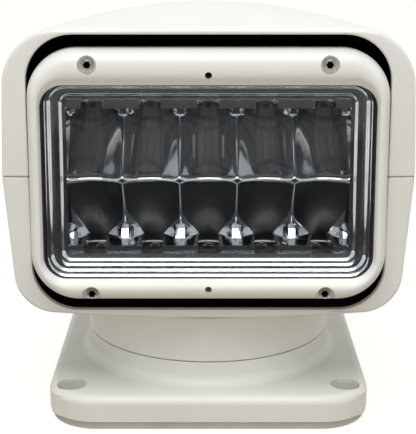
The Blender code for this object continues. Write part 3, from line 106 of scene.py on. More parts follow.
# shown only: the posts start this much higher, so that their feet stay inside the skin
POST_LIFT = 9.0
SHELL_SCREW_SEAT = SEAM_Z - 22.5
NECK_HOLE_R = 19.0
TILT_Y = -32.0
TILT_Z = (OPEN_TOP + OPEN_BOTTOM) / 2.0 - 1.15
REST_TILT = math.radians(3.0)
FACE_DZ = -3.2
BEZEL_HALF_X = OPEN_HALF_X - 2.1
BEZEL_HALF_Z = (OPEN_TOP - OPEN_BOTTOM) / 2.0 - 5.75
BEZEL_BACK = -30.5
BEZEL_LIP = -42.0
WINDOW_HALF_X = BEZEL_HALF_X - 5.9
WINDOW_HALF_Z = BEZEL_HALF_Z - 13.8
WINDOW_CORNER = 9.0
RECESS_HALF_X = WINDOW_HALF_X + 3.0
RECESS_HALF_Z = WINDOW_HALF_Z + 2.3
RECESS_CORNER = 10.5
SCREW_ROWS_Z = (BEZEL_HALF_Z - 8.1, 3.4 - BEZEL_HALF_Z)
BEZEL_SCREWS = [(sx * (BEZEL_HALF_X - 25.8), z) for z in SCREW_ROWS_Z for sx in (-1, 1)]
BEZEL_CBORE_R = 4.15
# shown only: the upper pair of screws sits nearer to the front than the lower pair
UPPER_SEAT = -41.3
LOWER_SEAT = -39.3
DRAIN_DZ = RECESS_HALF_Z + 2.1
DRAIN_R = 1.55
LENS_T = 3.0
REFLECTOR_FRONT = -36.6
REFLECTOR_FLANGE_T = 2.0
REFLECTOR_BACK = -7.5
REFLECTOR_HALF_X = WINDOW_HALF_X - 6.0
REFLECTOR_WALL = 2.2
CELL_COLS = 5
CELL_W = (WINDOW_HALF_X - 7.75) * 2.0 / CELL_COLS
CELL_H = WINDOW_HALF_Z - 6.5
BOWL_BACK = -9.0
SCREW_HEAD_R = 2.75
SCREW_HEAD_H = 2.6
SCREW_R = 1.5
BEZEL_SCREW_LONG = 18.0
SCREW_HOLE_R = 1.8
RECESS_DEPTH = 1.7
EMITTER_WIDE = 4.6
EMITTER_TALL = 0.9
EMITTER_DOME_R = 1.9

ARRAY_HALF_X = CELL_W * CELL_COLS / 2.0
RIDGE_Y = -35.0
BOWL_4F = (CELL_H ** 2 + (CELL_W / 2.0) ** 2) / (BOWL_BACK - RIDGE_Y)
LED_Y = BOWL_BACK - BOWL_4F / 4.0
CELL_CENTRES = [-ARRAY_HALF_X + (i + 0.5) * CELL_W for i in range(CELL_COLS)]

# shown only: the frame's outline, wider and lower at its top, and its window
TOP_TRIM = 0.45
BEZEL_OUT_X = OPEN_HALF_X - 0.45
BEZEL_OUT_Z = BEZEL_HALF_Z - TOP_TRIM
VIEW_HALF_X = WINDOW_HALF_X + 1.6
VIEW_CORNER = WINDOW_CORNER + 1.3
# bezel sections from the back edge over the pillow front to the recess:
# half width, half height, drop, corner radius, depth
BEZEL_RINGS = (
    (BEZEL_OUT_X, BEZEL_OUT_Z, -TOP_TRIM, 22.0, BEZEL_BACK),
    (BEZEL_OUT_X, BEZEL_OUT_Z, -TOP_TRIM, 22.0, -37.0),
    (BEZEL_OUT_X - 0.15, BEZEL_OUT_Z - 0.6, -TOP_TRIM, 21.5, -40.0),
    (BEZEL_OUT_X - 0.8, BEZEL_OUT_Z - 1.9, -TOP_TRIM - 0.1, 20.6, -42.8),
    (BEZEL_OUT_X - 2.2, BEZEL_OUT_Z - 4.2, -TOP_TRIM - 0.6, 18.2, -45.0),
    (BEZEL_OUT_X - 3.7, BEZEL_OUT_Z - 7.2, -TOP_TRIM - 1.4, 15.2, -45.9),
    (BEZEL_OUT_X - 5.0, BEZEL_OUT_Z - 10.0, -TOP_TRIM - 2.3, 12.6, -45.6),
    (VIEW_HALF_X, WINDOW_HALF_Z, FACE_DZ, VIEW_CORNER, -43.6),
)
FRONT_REACH = -min(TILT_Y + y * math.cos(REST_TILT) + (dz - half_z) * math.sin(REST_TILT)
                   for _, half_z, dz, _, y in BEZEL_RINGS)

# head shell, station by station from the front rim to the back: y, then how far the side at the seam and
# at the top corner stand in from the greatest half width, the fall of the top, its sag at the corner and
# its corner radius, and the same for the bottom: inset, rise, sag, radius
HEAD_PLAN = (
    (-70.0, 1.9, 4.4, 8.2, 0.8, 23.5, 6.8, 3.8, 4.0, 15.0),
    (-69.4, 0.9, 3.4, 7.3, 0.8, 24.0, 5.8, 2.9, 4.0, 15.5),
    (-67.6, 0.3, 2.9, 6.5, 1.0, 24.5, 5.2, 2.2, 3.9, 16.0),
    (-61.0, 0.0, 3.0, 4.9, 3.2, 25.0, 4.9, 0.6, 3.2, 16.5),
    (-47.0, 0.0, 3.4, 2.2, 8.8, 26.5, 4.8, 0.0, 2.6, 17.0),
    (-28.0, 0.1, 4.1, 0.0, 15.0, 28.5, 5.0, 0.0, 2.4, 17.5),
    (-6.0, 0.9, 5.4, 0.6, 17.5, 30.0, 5.8, 0.0, 2.4, 18.5),
    (16.0, 2.6, 7.8, 3.8, 18.0, 32.0, 7.4, 0.0, 2.6, 20.0),
    (36.0, 6.0, 11.5, 10.3, 17.0, 33.0, 10.6, 0.0, 2.8, 21.5),
    (50.0, 10.6, 16.1, 18.0, 15.0, 34.0, 14.8, 0.2, 3.2, 22.0),
    (61.0, 16.6, 22.0, 27.2, 12.6, 33.0, 20.4, 2.4, 3.5, 21.0),
    (69.0, 24.0, 29.0, 37.6, 10.0, 30.0, 27.0, 7.2, 3.4, 19.0),
    (74.2, 32.4, 36.8, 47.2, 7.6, 25.0, 34.4, 13.4, 3.0, 16.0),
    (76.6, 40.0, 43.8, 54.2, 5.8, 20.0, 41.0, 19.0, 2.5, 13.0),
    (77.4, 46.8, 50.2, 59.6, 4.4, 14.0, 47.4, 23.8, 2.0, 10.0),
)
STRETCH_FROM = -28.0
STRETCH = (FRONT_REACH - STRETCH_FROM) / (HEAD_PLAN[-1][0] - STRETCH_FROM)
SHELL_STATIONS = []
for y, at_seam, at_top, fall, top_sag, top_radius, at_bottom, rise, low_sag, low_radius in HEAD_PLAN:
    SHELL_STATIONS.append((y if y < STRETCH_FROM else STRETCH_FROM + (y - STRETCH_FROM) * STRETCH,
                           HEAD_HALF_X - at_seam, HEAD_HALF_X - at_top, HEAD_TOP - fall, top_sag, top_radius,
                           HEAD_HALF_X - at_bottom, SHELL_BOTTOM + rise, low_sag, low_radius))

# Camera of the photograph, solved from the base plate, the collar and the bezel: millimetres and degrees
CAMERA_AT = (-0.2, -595.6, 246.1)
CAMERA_PITCH = 15.3
FOCAL_PX = 1200.0
PHOTO_TALL_PX = 434.0
SENSOR_MM = 36.0

PLACE = Matrix.Scale(MM, 4)
LAMP_PLACE = (Matrix.Translation((0.0, TILT_Y * MM, TILT_Z * MM)) @ Matrix.Rotation(-REST_TILT, 4, 'X')
              @ Matrix.Scale(MM, 4))


def linear(code):
    """An sRGB hex colour as linear red, green, blue and alpha."""
    parts = [int(code[i:i + 2], 16) / 255.0 for i in (1, 3, 5)]
    return tuple(p / 12.92 if p <= 0.04045 else ((p + 0.055) / 1.055) ** 2.4 for p in parts) + (1.0,)


class SearchlightSizes(bpy.types.PropertyGroup):
    """Sizes that a user may change."""
    shell_edge: FloatProperty(name="Shell edge", description="Rounding of the shell edges at the seam, in mm",
                              default=0.45, min=0.1, max=1.5)
    bore_edge: FloatProperty(name="Bore edge", description="Rounding of moulded hole edges, in mm",
                             default=0.35, min=0.05, max=1.0)
    grain: FloatProperty(name="Moulding grain", description="Spacing of the grain of moulded plastic, in mm",
                         default=0.9, min=0.2, max=4.0)
    ripple: FloatProperty(name="Mirror ripple", description="Spacing of the ripple in the mirror coat, in mm",
                          default=9.0, min=1.0, max=30.0)
    recess: FloatProperty(name="Screw recess", description="Outer radius of the six lobed recess, in mm",
                          default=1.85, min=0.6, max=2.2)
    bowl_detail: IntProperty(name="Bowl detail", description="Steps across one reflector cell",
                             default=22, min=8, max=40)


def colour_property(name, description, code):
    return FloatVectorProperty(name=name, description=description, subtype='COLOR', size=4, min=0.0, max=1.0,
                               default=linear(code))


class SearchlightColours(bpy.types.PropertyGroup):
    """Colours that a user may change."""
    housing: colour_property("Housing", "Moulded housing colour", "#E8E8E3")
    base: colour_property("Base", "Base plate and collar colour", "#E2E2DB")
    pad: colour_property("Deck gasket", "Deck gasket colour", "#C9C8BE")
    mirror: colour_property("Mirror", "Reflector coat colour", "#DCDDDF")


def sizes():
    return bpy.context.scene.searchlight_sizes


def colours():
    return bpy.context.scene.searchlight_colours


def add(tree, kind, inputs=None, **settings):
    """Adds one node; an input that is a socket is linked, any other value is set on the socket."""
    made = tree.nodes.new(kind)
    for key, value in settings.items():
        setattr(made, key, value)
    for key, value in (inputs or {}).items():
        socket = made.inputs[key]
        if isinstance(value, bpy.types.NodeSocket):
            tree.links.new(value, socket)
        else:
            socket.default_value = value
    return made


# Materials
def blank(owner):
    """The node tree of a material or world, emptied."""
    owner.use_nodes = True
    owner.node_tree.nodes.clear()
    return owner.node_tree


def new_surface(name, **constants):
    """A material with a Principled shader, its Object coordinates, and the constants set on the shader."""
    made = bpy.data.materials.new(name)
    tree = blank(made)
    shader = add(tree, "ShaderNodeBsdfPrincipled")
    for key, value in constants.items():
        shader.inputs[key.replace("_", " ")].default_value = value
    add(tree, "ShaderNodeOutputMaterial", {"Surface": shader.outputs[0]})
    return made, tree, shader, add(tree, "ShaderNodeTexCoord").outputs["Object"]


def per_mm(spacing):
    """Texture scale for a pattern of this spacing in millimetres, as Object coordinates are metres."""
    return 1.0 / (spacing * MM)


def tint(colour, factor):
    return tuple(min(1.0, c * factor) for c in colour[:3]) + (1.0,)


def noise(tree, coords, spacing, detail, distortion=0.0):
    given = {"Vector": coords, "Scale": per_mm(spacing), "Detail": detail, "Distortion": distortion}
    return add(tree, "ShaderNodeTexNoise", given).outputs["Fac"]


def mottled(tree, coords, colour, spread, spacing):
    """Colour that drifts a little either side of its own value."""
    ramp = add(tree, "ShaderNodeValToRGB", {"Fac": noise(tree, coords, spacing, 3.0)})
    for n, (position, factor) in enumerate(((0.35, 1.0 - spread), (0.65, 1.0 + spread))):
        ramp.color_ramp.elements[n].position = position
        ramp.color_ramp.elements[n].color = tint(colour, factor)
    return ramp.outputs["Color"]


def varied(tree, coords, low, high, spacing):
    """A value that wanders between two limits."""
    given = {"Value": noise(tree, coords, spacing, 4.0), "From Min": 0.3, "From Max": 0.7,
             "To Min": low, "To Max": high}
    return add(tree, "ShaderNodeMapRange", given).outputs["Result"]


def dress(surface, colour, rough, along=None):
    """Gives a surface a mottled colour (colour, spread, spacing) and a roughness (low, high, spacing)."""
    _, tree, shader, coords = surface
    tree.links.new(mottled(tree, coords, *colour), shader.inputs["Base Color"])
    tree.links.new(varied(tree, coords if along is None else along, *rough), shader.inputs["Roughness"])


def bumped(tree, shader, height, strength, depth):
    """Drives the normal from a height; the depth is in millimetres."""
    bump = add(tree, "ShaderNodeBump", {"Height": height, "Strength": strength, "Distance": depth * MM})
    tree.links.new(bump.outputs["Normal"], shader.inputs["Normal"])


def moulded_plastic(name, colour, roughness, spread=0.015, depth=0.02):
    """Injection moulded plastic: fine spark grain, drawn a little coarse so that it shows."""
    surface = made, tree, shader, coords = new_surface(name, IOR=1.49)
    dress(surface, (colour, spread, 30.0), (roughness - 0.05, roughness + 0.05, 12.0))
    bumped(tree, shader, noise(tree, coords, sizes().grain, 2.0), 0.25, depth)
    return made


def elastomer(name, colour, roughness):
    """Moulded elastomer: matt, with a faint bloom and a pebbled grain."""
    surface = made, tree, shader, coords = new_surface(name, IOR=1.52, Specular_IOR_Level=0.3)
    grain = add(tree, "ShaderNodeTexVoronoi", {"Vector": coords, "Scale": per_mm(1.1)})
    dress(surface, (colour, 0.06, 18.0), (roughness - 0.07, roughness + 0.07, 9.0))
    bumped(tree, shader, grain.outputs["Distance"], 0.3, 0.05)
    return made


def metal(name, colour, roughness, streak_axis=(1.0, 1.0, 12.0), spacing=1.6, spread=0.05):
    """Machined or drawn metal: fine streaks stretched along one direction."""
    surface = made, tree, shader, coords = new_surface(name, Metallic=1.0)
    along = add(tree, "ShaderNodeMapping", {"Vector": coords, "Scale": streak_axis}).outputs["Vector"]
    dress(surface, (colour, spread, 14.0), (roughness - 0.06, roughness + 0.08, spacing), along)
    bumped(tree, shader, noise(tree, along, spacing, 3.0), 0.15, 0.02)
    return made


def mirror_coat():
    """Vacuum metallised polycarbonate: near mirror, rippled by the moulding under it."""
    surface = made, tree, shader, coords = new_surface("metallised_mirror", Metallic=1.0)
    dress(surface, (colours().mirror, 0.03, 10.0), (0.03, 0.09, 6.0))
    bumped(tree, shader, noise(tree, coords, sizes().ripple, 2.5, 0.6), 0.1, 0.08)
    return made


def clear_polycarbonate():
    """Clear hard coated polycarbonate: polished, with a trace of salt dust in its gloss."""
    surface = new_surface("polycarbonate_clear", IOR=1.58, Transmission_Weight=1.0)
    dress(surface, (linear("#F7FAFB"), 0.01, 20.0), (0.0, 0.02, 5.0))
    return surface[0]


def solder_mask(name, colour):
    """Solder mask over copper: semi gloss, the tracks showing as slightly raised bands."""
    made, tree, shader, coords = new_surface(name, IOR=1.5)
    tones = {key: tint(colour, factor) for key, factor in (("Color1", 0.9), ("Color2", 1.2), ("Mortar", 0.6))}
    given = {"Vector": coords, "Scale": per_mm(6.0), "Mortar Size": 0.03}
    tracks = add(tree, "ShaderNodeTexBrick", {**given, **tones})
    tree.links.new(tracks.outputs["Color"], shader.inputs["Base Color"])
    tree.links.new(varied(tree, coords, 0.3, 0.45, 3.0), shader.inputs["Roughness"])
    bumped(tree, shader, tracks.outputs["Fac"], 0.3, 0.04)
    return made


def phosphor():
    """Silicone dome over yellow phosphor: soft and glossy."""
    surface = new_surface("phosphor_silicone", IOR=1.41, Coat_Weight=0.6, Coat_Roughness=0.05)
    dress(surface, (linear("#8E8A5E"), 0.08, 1.0), (0.25, 0.4, 1.0))
    return surface[0]


EVEN = (1.0, 1.0, 1.0)
MAKERS = {
    # ASA, moulded in a satin tool and UV stable: warm off-white with a soft broad gloss
    "housing_white": lambda: moulded_plastic("asa_satin_white", colours().housing, 0.36),
    # glass filled ASA of the base and collar: the same white, a touch warmer and less glossy
    "base_white": lambda: moulded_plastic("asa_filled_white", colours().base, 0.44, 0.02, 0.03),
    # near black on the inside faces of the shells: painted shade, so that the gap round the bezel reads dark
    "painted_shade_lining": lambda: moulded_plastic("painted_shade_black_inside", linear("#141210"), 0.8, 0.1, 0.04),
    # acetal, machined gear blanks: milky and slightly waxy
    "gear_plastic": lambda: moulded_plastic("acetal_natural", linear("#D2D0C4"), 0.34),
    # glass filled nylon glands: black with a dry grain
    "black_plastic": lambda: moulded_plastic("nylon_black", linear("#17171A"), 0.55, 0.1, 0.04),
    "gasket_rubber": lambda: elastomer("epdm_stone", colours().pad, 0.72),
    "seam_rubber": lambda: elastomer("epdm_grey", linear("#CFCBB8"), 0.7),
    "lens_rubber": lambda: elastomer("silicone_black", linear("#1C1C1E"), 0.6),
    "stainless": lambda: metal("stainless_turned", linear("#DDDBD6"), 0.45),
    # near black metal inside the screw recesses: painted shade of the deep recess
    "painted_shade_recess": lambda: metal("painted_shade_recess_metal", linear("#1A1A1A"), 0.5, EVEN, 0.8, 0.1),
    "zinc_plated": lambda: metal("zinc_plated_steel", linear("#AEB0AE"), 0.4, (6.0, 1.0, 1.0), 2.5, 0.1),
    "bronze": lambda: metal("bronze_turned", linear("#B08A45"), 0.35),
    "anodised": lambda: metal("anodised_black", linear("#2B2B2D"), 0.45, EVEN, 0.9, 0.15),
    "board_green": lambda: solder_mask("solder_mask_green", linear("#1F5B3A")),
    # the two emitter boards: the upper light and the lower near black, painted light and painted shade for
    # what the mirror bowls reflect
    "board_white": lambda: solder_mask("solder_mask_painted_light", linear("#E6E6E2")),
    "board_painted_shade": lambda: solder_mask("solder_mask_painted_shade", linear("#1B1C1E")),
    "led_phosphor": phosphor,
    # alumina substrate of the emitters: matt grey, slightly granular
    "alumina": lambda: moulded_plastic("alumina_grey", linear("#8C8C88"), 0.5, 0.04, 0.02),
    "clear_lens": clear_polycarbonate,
    "mirror_coat": mirror_coat,
}
FINISHES = {}


def finish(name):
    """The finished material of this name, made once."""
    if name not in FINISHES:
        FINISHES[name] = MAKERS[name]()
    return FINISHES[name]


# Mesh tools
def rounded_rect(half_x, half_z, radius, centre=(0.0, 0.0), corner_steps=12, side_steps=6):
    """Anticlockwise loop from the right side, the same count of points for any size."""
    points = []
    corners = ((1, 1, 0.0), (-1, 1, 90.0), (-1, -1, 180.0), (1, -1, 270.0))
    for n, (sx, sz, turn) in enumerate(corners):
        middle = Vector((sx * (half_x - radius), sz * (half_z - radius)))
        arc = [middle + radius * Vector((math.cos(math.radians(turn + 90.0 * i / corner_steps)),
                                         math.sin(math.radians(turn + 90.0 * i / corner_steps))))
               for i in range(corner_steps + 1)]
        points += arc
        nx, nz, next_turn = corners[(n + 1) % 4]
        start = Vector((nx * (half_x - radius), nz * (half_z - radius))) + radius * Vector(
            (math.cos(math.radians(next_turn)), math.sin(math.radians(next_turn))))
        points += [arc[-1].lerp(start, i / side_steps) for i in range(1, side_steps)]
    return [p + Vector(centre) for p in points]


def ring_xy(loop, z):
    return [Vector((p.x, p.y, z)) for p in loop]


def ring_xz(loop, y):
    return [Vector((p.x, y, p.y)) for p in loop]


def spread_rows(rows, closed_columns=True, closed_rows=False):
    """A bmesh of quads between rows of equal count."""
    body = bmesh.new()
    grid = [[body.verts.new(p) for p in row] for row in rows]
    last_row = len(rows) if closed_rows else len(rows) - 1
    count = len(rows[0])
    last_column = count if closed_columns else count - 1
    for r in range(last_row):
        for c in range(last_column):
            d = (c + 1) % count
            e = (r + 1) % len(rows)
            body.faces.new((grid[r][c], grid[r][d], grid[e][d], grid[e][c]))
    return body


def fair(rows, pieces_per_mm=0.35, most=8):
    """Rows of a smooth surface through the given rows: a centripetal Catmull-Rom curve in every column."""
    spans = [max(1e-4, max((b - a).length for a, b in zip(here, there)))
             for here, there in zip(rows, rows[1:])]
    knots = [0.0]
    for span in spans:
        knots.append(knots[-1] + math.sqrt(span))
    made = []
    for i, span in enumerate(spans):
        before = rows[i - 1] if i else [2 * a - b for a, b in zip(rows[0], rows[1])]
        after = rows[i + 2] if i + 2 < len(rows) else [2 * b - a for a, b in zip(rows[-2], rows[-1])]
        t1, t2 = knots[i], knots[i + 1]
        t0 = knots[i - 1] if i else t1 - (t2 - t1)
        t3 = knots[i + 2] if i + 2 < len(rows) else t2 + (t2 - t1)
        steps = min(most, max(1, math.ceil(span * pieces_per_mm)))
        for step in range(steps):
            t = t1 + (t2 - t1) * step / steps
            made.append([catmull(p, (t0, t1, t2, t3), t) for p in zip(before, rows[i], rows[i + 1], after)])
    made.append(list(rows[-1]))
    return made


def catmull(points, knots, t):
    """One point of a non-uniform Catmull-Rom span."""
    p0, p1, p2, p3 = points
    t0, t1, t2, t3 = knots
    a1 = p0 * ((t1 - t) / (t1 - t0)) + p1 * ((t - t0) / (t1 - t0))
    a2 = p1 * ((t2 - t) / (t2 - t1)) + p2 * ((t - t1) / (t2 - t1))
    a3 = p2 * ((t3 - t) / (t3 - t2)) + p3 * ((t - t2) / (t3 - t2))
    b1 = a1 * ((t2 - t) / (t2 - t0)) + a2 * ((t - t0) / (t2 - t0))
    b2 = a2 * ((t3 - t) / (t3 - t1)) + a3 * ((t - t1) / (t3 - t1))
    return b1 * ((t2 - t) / (t2 - t1)) + b2 * ((t - t1) / (t2 - t1))


def tidy(body, merge=0.0005):
    """Merges what meets and turns the faces outwards."""
    bmesh.ops.remove_doubles(body, verts=body.verts, dist=merge)
    bmesh.ops.recalc_face_normals(body, faces=body.faces)
    return body


def spin(profile, segments=128):
    """A closed turned body about the Z axis from a closed profile of radius and height."""
    turns = [2 * math.pi * k / segments for k in range(segments)]
    rows = [[Vector((radius * math.cos(turn), radius * math.sin(turn), z)) for turn in turns]
            for radius, z in profile]
    return tidy(spread_rows(rows, True, True))


def quarter(radius, steps):
    """A quarter round, step by step: how far it stands in from its one side and from its other."""
    turns = [math.radians(90.0 * i / steps) for i in range(steps + 1)]
    return [(radius * (1 - math.sin(turn)), radius * (1 - math.cos(turn))) for turn in turns]


def fill_holes(body):
    bmesh.ops.holes_fill(body, edges=[e for e in body.edges if e.is_boundary], sides=0)


def centre_xy(box):
    """The middle of a CAD box across Z, in millimetres."""
    low, high = box
    return (low[0] + high[0]) / 2 / MM, (low[1] + high[1]) / 2 / MM


def cylinder(spot, low, high, radius, segments=32, axis='Z'):
    """A closed round cutter or post; the spot is its centre across the axis."""
    body = bmesh.new()
    middle = Matrix.Translation((0.0, 0.0, (low + high) / 2.0))
    bmesh.ops.create_cone(body, cap_ends=True, segments=segments, radius1=radius, radius2=radius,
                          depth=high - low, matrix=middle)
    turn = Matrix.Rotation(math.radians(-90.0), 4, 'X') if axis == 'Y' else Matrix.Identity(4)
    place = (spot[0], 0.0, spot[1]) if axis == 'Y' else (spot[0], spot[1], 0.0)
    body.transform(Matrix.Translation(place) @ turn)
    return body


def box_body(low, high):
    body = bmesh.new()
    bmesh.ops.create_cube(body, size=1.0)
    for v in body.verts:
        v.co = Vector([a + (b - a) * (c + 0.5) for a, b, c in zip(low, high, v.co)])
    return body


def merged(bodies):
    """Several closed bodies in one bmesh."""
    whole = bmesh.new()
    for body in bodies:
        held = bpy.data.meshes.new("held")
        body.to_mesh(held)
        body.free()
        whole.from_mesh(held)
        bpy.data.meshes.remove(held)
    return whole


def linked(name, data):
    made = bpy.data.objects.new(name, data)
    bpy.context.scene.collection.objects.link(made)
    return made


def to_object(name, body):
    mesh = bpy.data.meshes.new(name)
    body.to_mesh(mesh)
    body.free()
    return linked(name, mesh)


def settle(made):
    """Replaces an object's mesh by its evaluated one and drops the modifiers."""
    bpy.context.view_layer.update()
    graph = bpy.context.evaluated_depsgraph_get()
    shown = made.evaluated_get(graph)
    mesh = bpy.data.meshes.new_from_object(shown, preserve_all_data_layers=True, depsgraph=graph)
    old = made.data
    made.modifiers.clear()
    made.data = mesh
    bpy.data.meshes.remove(old)
    return made


def combine(made, operation, body, solver='EXACT'):
    """One Boolean step with a throwaway tool body."""
    tool = to_object("tool", tidy(body))
    step = made.modifiers.new("step", 'BOOLEAN')
    step.operation = operation
    step.solver = solver
    step.object = tool
    settle(made)
    bpy.data.objects.remove(tool, do_unlink=True)
    return made


def round_edges(made, width, angle=35.0, segments=2):
    """Rounds the edges that are sharper than the angle; widths are in millimetres."""
    step = made.modifiers.new("edges", 'BEVEL')
    step.width = width
    step.segments = segments
    step.limit_method = 'ANGLE'
    step.angle_limit = math.radians(angle)
    step.use_clamp_overlap = True
    return settle(made)


def complete(made, finishes, body, replaced, place=PLACE, sharp=35.0):
    """Places a piece made in millimetres, shades it, gives it its finishes, ties it to its body and hides the
    CAD nodes it replaces.
    """
    made.data.transform(place)
    made.data.polygons.foreach_set("use_smooth", [True] * len(made.data.polygons))
    made.data.set_sharp_from_angle(angle=math.radians(sharp))
    if not made.data.materials:
        for name in finishes:
            made.data.materials.append(finish(name))
    step = made.modifiers.new("weighted", 'WEIGHTED_NORMAL')
    step.keep_sharp = True
    settle(made)
    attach(made, body)
    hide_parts(*replaced)
    return made


# Pieces
def make_deck_gasket():
    half = PLATE_HALF - PAD_INSET
    corner = PLATE_CORNER - PAD_INSET
    edge = 0.4
    outline = rounded_rect(half, half, corner, (0, 0), 18, 12)
    inner = rounded_rect(half - edge, half - edge, corner - edge, (0, 0), 18, 12)
    opening = [p.normalized() * PAD_OPENING_R for p in outline]
    heights = ((inner, 0.0), (outline, edge), (outline, PAD_TOP - edge), (inner, PAD_TOP), (opening, PAD_TOP),
               (opening, 0.0))
    rows = [ring_xy(loop, z) for loop, z in heights]
    made = to_object("deck_gasket_pad", tidy(spread_rows(rows, True, True)))
    combine(made, 'DIFFERENCE', merged([cylinder(b, -2.0, 6.0, BOLT_HOLE_R + 0.4) for b in BOLTS]))
    complete(made, ["gasket_rubber"], "base", ["deck_gasket"])


def make_base_plate():
    def outline(inset):
        return rounded_rect(PLATE_HALF - inset, PLATE_HALF - inset, PLATE_CORNER - inset, (0, 0), 20, 12)

    def round_ring(radius, z):
        return [Vector((p.x, p.y, 0.0)).normalized() * radius + Vector((0, 0, z)) for p in outline(0.0)]

    rows = [ring_xy(outline(0.4), PLATE_BOTTOM), ring_xy(outline(0.0), PLATE_BOTTOM + 0.4)]
    rows += [ring_xy(outline(inset), PLATE_TOP - fall) for fall, inset in quarter(PLATE_EDGE, 8)]
    foot = [Vector((p.x, p.y)).normalized() * (BOSS_R + BOSS_FOOT) for p in outline(0.0)]
    rows.append(ring_xy([a.lerp(b, 0.5) for a, b in zip(outline(PLATE_EDGE), foot)], PLATE_TOP))
    rows += [round_ring(BOSS_R + out, PLATE_TOP + rise) for out, rise in quarter(BOSS_FOOT, 8)]
    rows += [round_ring(BOSS_R - inset, BOSS_TOP - fall) for fall, inset in quarter(TOP_EDGE, 3)]
    rows += [round_ring(radius, z) for radius, z in
             ((40.0, BOSS_TOP), (SPINDLE_HOLE_R, BOSS_TOP), (SPINDLE_HOLE_R, HUB_BOTTOM), (HUB_R, HUB_BOTTOM),
              (HUB_R, WEB_BOTTOM), (BOSS_R - BOSS_WALL, WEB_BOTTOM), (BOSS_R - BOSS_WALL, HUB_BOTTOM))]
    rows += [ring_xy(outline(PLATE_WALL), HUB_BOTTOM), ring_xy(outline(PLATE_WALL), PLATE_BOTTOM)]
    made = to_object("base_moulding", tidy(spread_rows(rows, True, True)))
    posts = [cylinder(b, PLATE_BOTTOM + 0.02, HUB_BOTTOM + 1.0, BOLT_CBORE_R + 3.0, 40) for b in BOLTS]
    combine(made, 'UNION', merged(posts))
    stop = box_body((-STOP_HALF, STOP_IN, BOSS_TOP - 1.0), (STOP_HALF, STOP_OUT, BOSS_TOP + 12.0))
    combine(made, 'UNION', stop)
    combine(made, 'DIFFERENCE', merged([cylinder(b, BOLT_SEAT_Z, 30.0, BOLT_CBORE_R, 56) for b in BOLTS]))
    combine(made, 'DIFFERENCE', merged([cylinder(b, -2.0, 12.0, BOLT_HOLE_R, 40) for b in BOLTS]))
    round_edges(made, sizes().bore_edge, 50.0)
    complete(made, ["base_white"], "base", ["base_plate"])


def make_collar():
    inner = BOSS_R - COLLAR_WALL
    edge = quarter(TOP_EDGE, 4)
    profile = [(BOSS_R - a, COLLAR_BOTTOM + b) for a, b in edge]
    profile += [(BOSS_R - b, COLLAR_TOP - a) for a, b in edge]
    profile += [(inner, COLLAR_TOP), (inner, COLLAR_FLOOR_TOP), (SPINDLE_HOLE_R, COLLAR_FLOOR_TOP),
                (SPINDLE_HOLE_R, COLLAR_FLOOR), (inner, COLLAR_FLOOR), (inner, COLLAR_BOTTOM)]
    made = to_object("turret_collar_ring", spin(profile))
    spots = [centre_xy(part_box(node)) for node in numbered("chassis_screw", 4)]
    combine(made, 'UNION', merged([cylinder(s, COLLAR_FLOOR_TOP - 1.0, COLLAR_TOP, 6.0, 32) for s in spots]))
    stop = box_body((-STOP_HALF, -STOP_OUT, BOSS_TOP + 6.0), (STOP_HALF, -STOP_IN, COLLAR_FLOOR + 1.0))
    combine(made, 'UNION', stop)
    low, high = COLLAR_FLOOR - 2.0, COLLAR_TOP + 2.0
    holes = [cylinder(s, low, high, SCREW_HOLE_R, 16) for s in spots]
    pinion_hole = cylinder(centre_xy(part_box("pan_pinion")), low, high, 10.0, 40)
    combine(made, 'DIFFERENCE', merged(holes + [pinion_hole]))
    complete(made, ["base_white"], "turret", ["turret_collar"])


# steps of a shell row from the seam to its middle: beside the seam (in millimetres from it), then along the
# side, round the corner and along the crown
SEAM_STEPS = (0.0, 0.15, 0.5)
SIDE_STEPS = 9
CORNER_STEPS = 12
CROWN_STEPS = 10
ARC_HANDLE = 0.5523
MOUTH_EDGE = 0.8
MOUTH_ROWS = 5
POLE_ROWS = 8


def mirrored_row(points, y):
    """A row at this depth: the points of the right half, then the same mirrored to the left."""
    return [Vector((p.x, y, p.y)) for p in points] + [Vector((-p.x, y, p.y)) for p in reversed(points[:-1])]


def half_arc(station, inset, up):
    """One station of a half shell, right seam to left, over the top (up 1) or under the bottom (up -1)."""
    _, w_seam, w_top, top, sag_top, r_top, w_low, bottom, sag_low, r_low = station
    width, level, sag, radius = (w_top, top, sag_top, r_top) if up > 0 else (w_low, bottom, sag_low, r_low)
    width -= inset
    level -= up * inset
    corner = Vector((width, level - up * sag))
    start = Vector((w_seam - inset, SEAM_Z))
    radius = min(max(radius - inset, 3.0), 0.8 * (start - corner).length)
    side = (start - corner).normalized()
    low = corner + side * radius
    shoulder = width - radius
    flat = Vector((shoulder, level - up * sag * (shoulder / width) ** 2))
    handle_a = low.lerp(corner, ARC_HANDLE)
    slope = Vector((radius * ARC_HANDLE, up * -(sag * 2 * shoulder / width ** 2) * radius * ARC_HANDLE))
    handle_b = flat + slope
    reach = (low - start).length
    first = SEAM_SHOWN / 2.0 / reach
    shares = [first + (1.0 - first) * i / SIDE_STEPS for i in range(1, SIDE_STEPS)]
    points = [start.lerp(low, min(first + step / reach, 0.5)) for step in SEAM_STEPS]
    points += [start.lerp(low, share) for share in shares if share > first + 0.6 / reach]
    while len(points) < len(SEAM_STEPS) + SIDE_STEPS - 1:
        points.insert(3, points[2].lerp(points[3], 0.5))
    for i in range(CORNER_STEPS + 1):
        t = i / CORNER_STEPS
        points.append(low * (1 - t) ** 3 + handle_a * 3 * t * (1 - t) ** 2 + handle_b * 3 * t * t * (1 - t)
                      + flat * t ** 3)
    for i in range(1, CROWN_STEPS + 1):
        x = shoulder * (1 - i / CROWN_STEPS)
        points.append(Vector((x, level - up * sag * (x / width) ** 2)))
    return mirrored_row(points, 0.0)


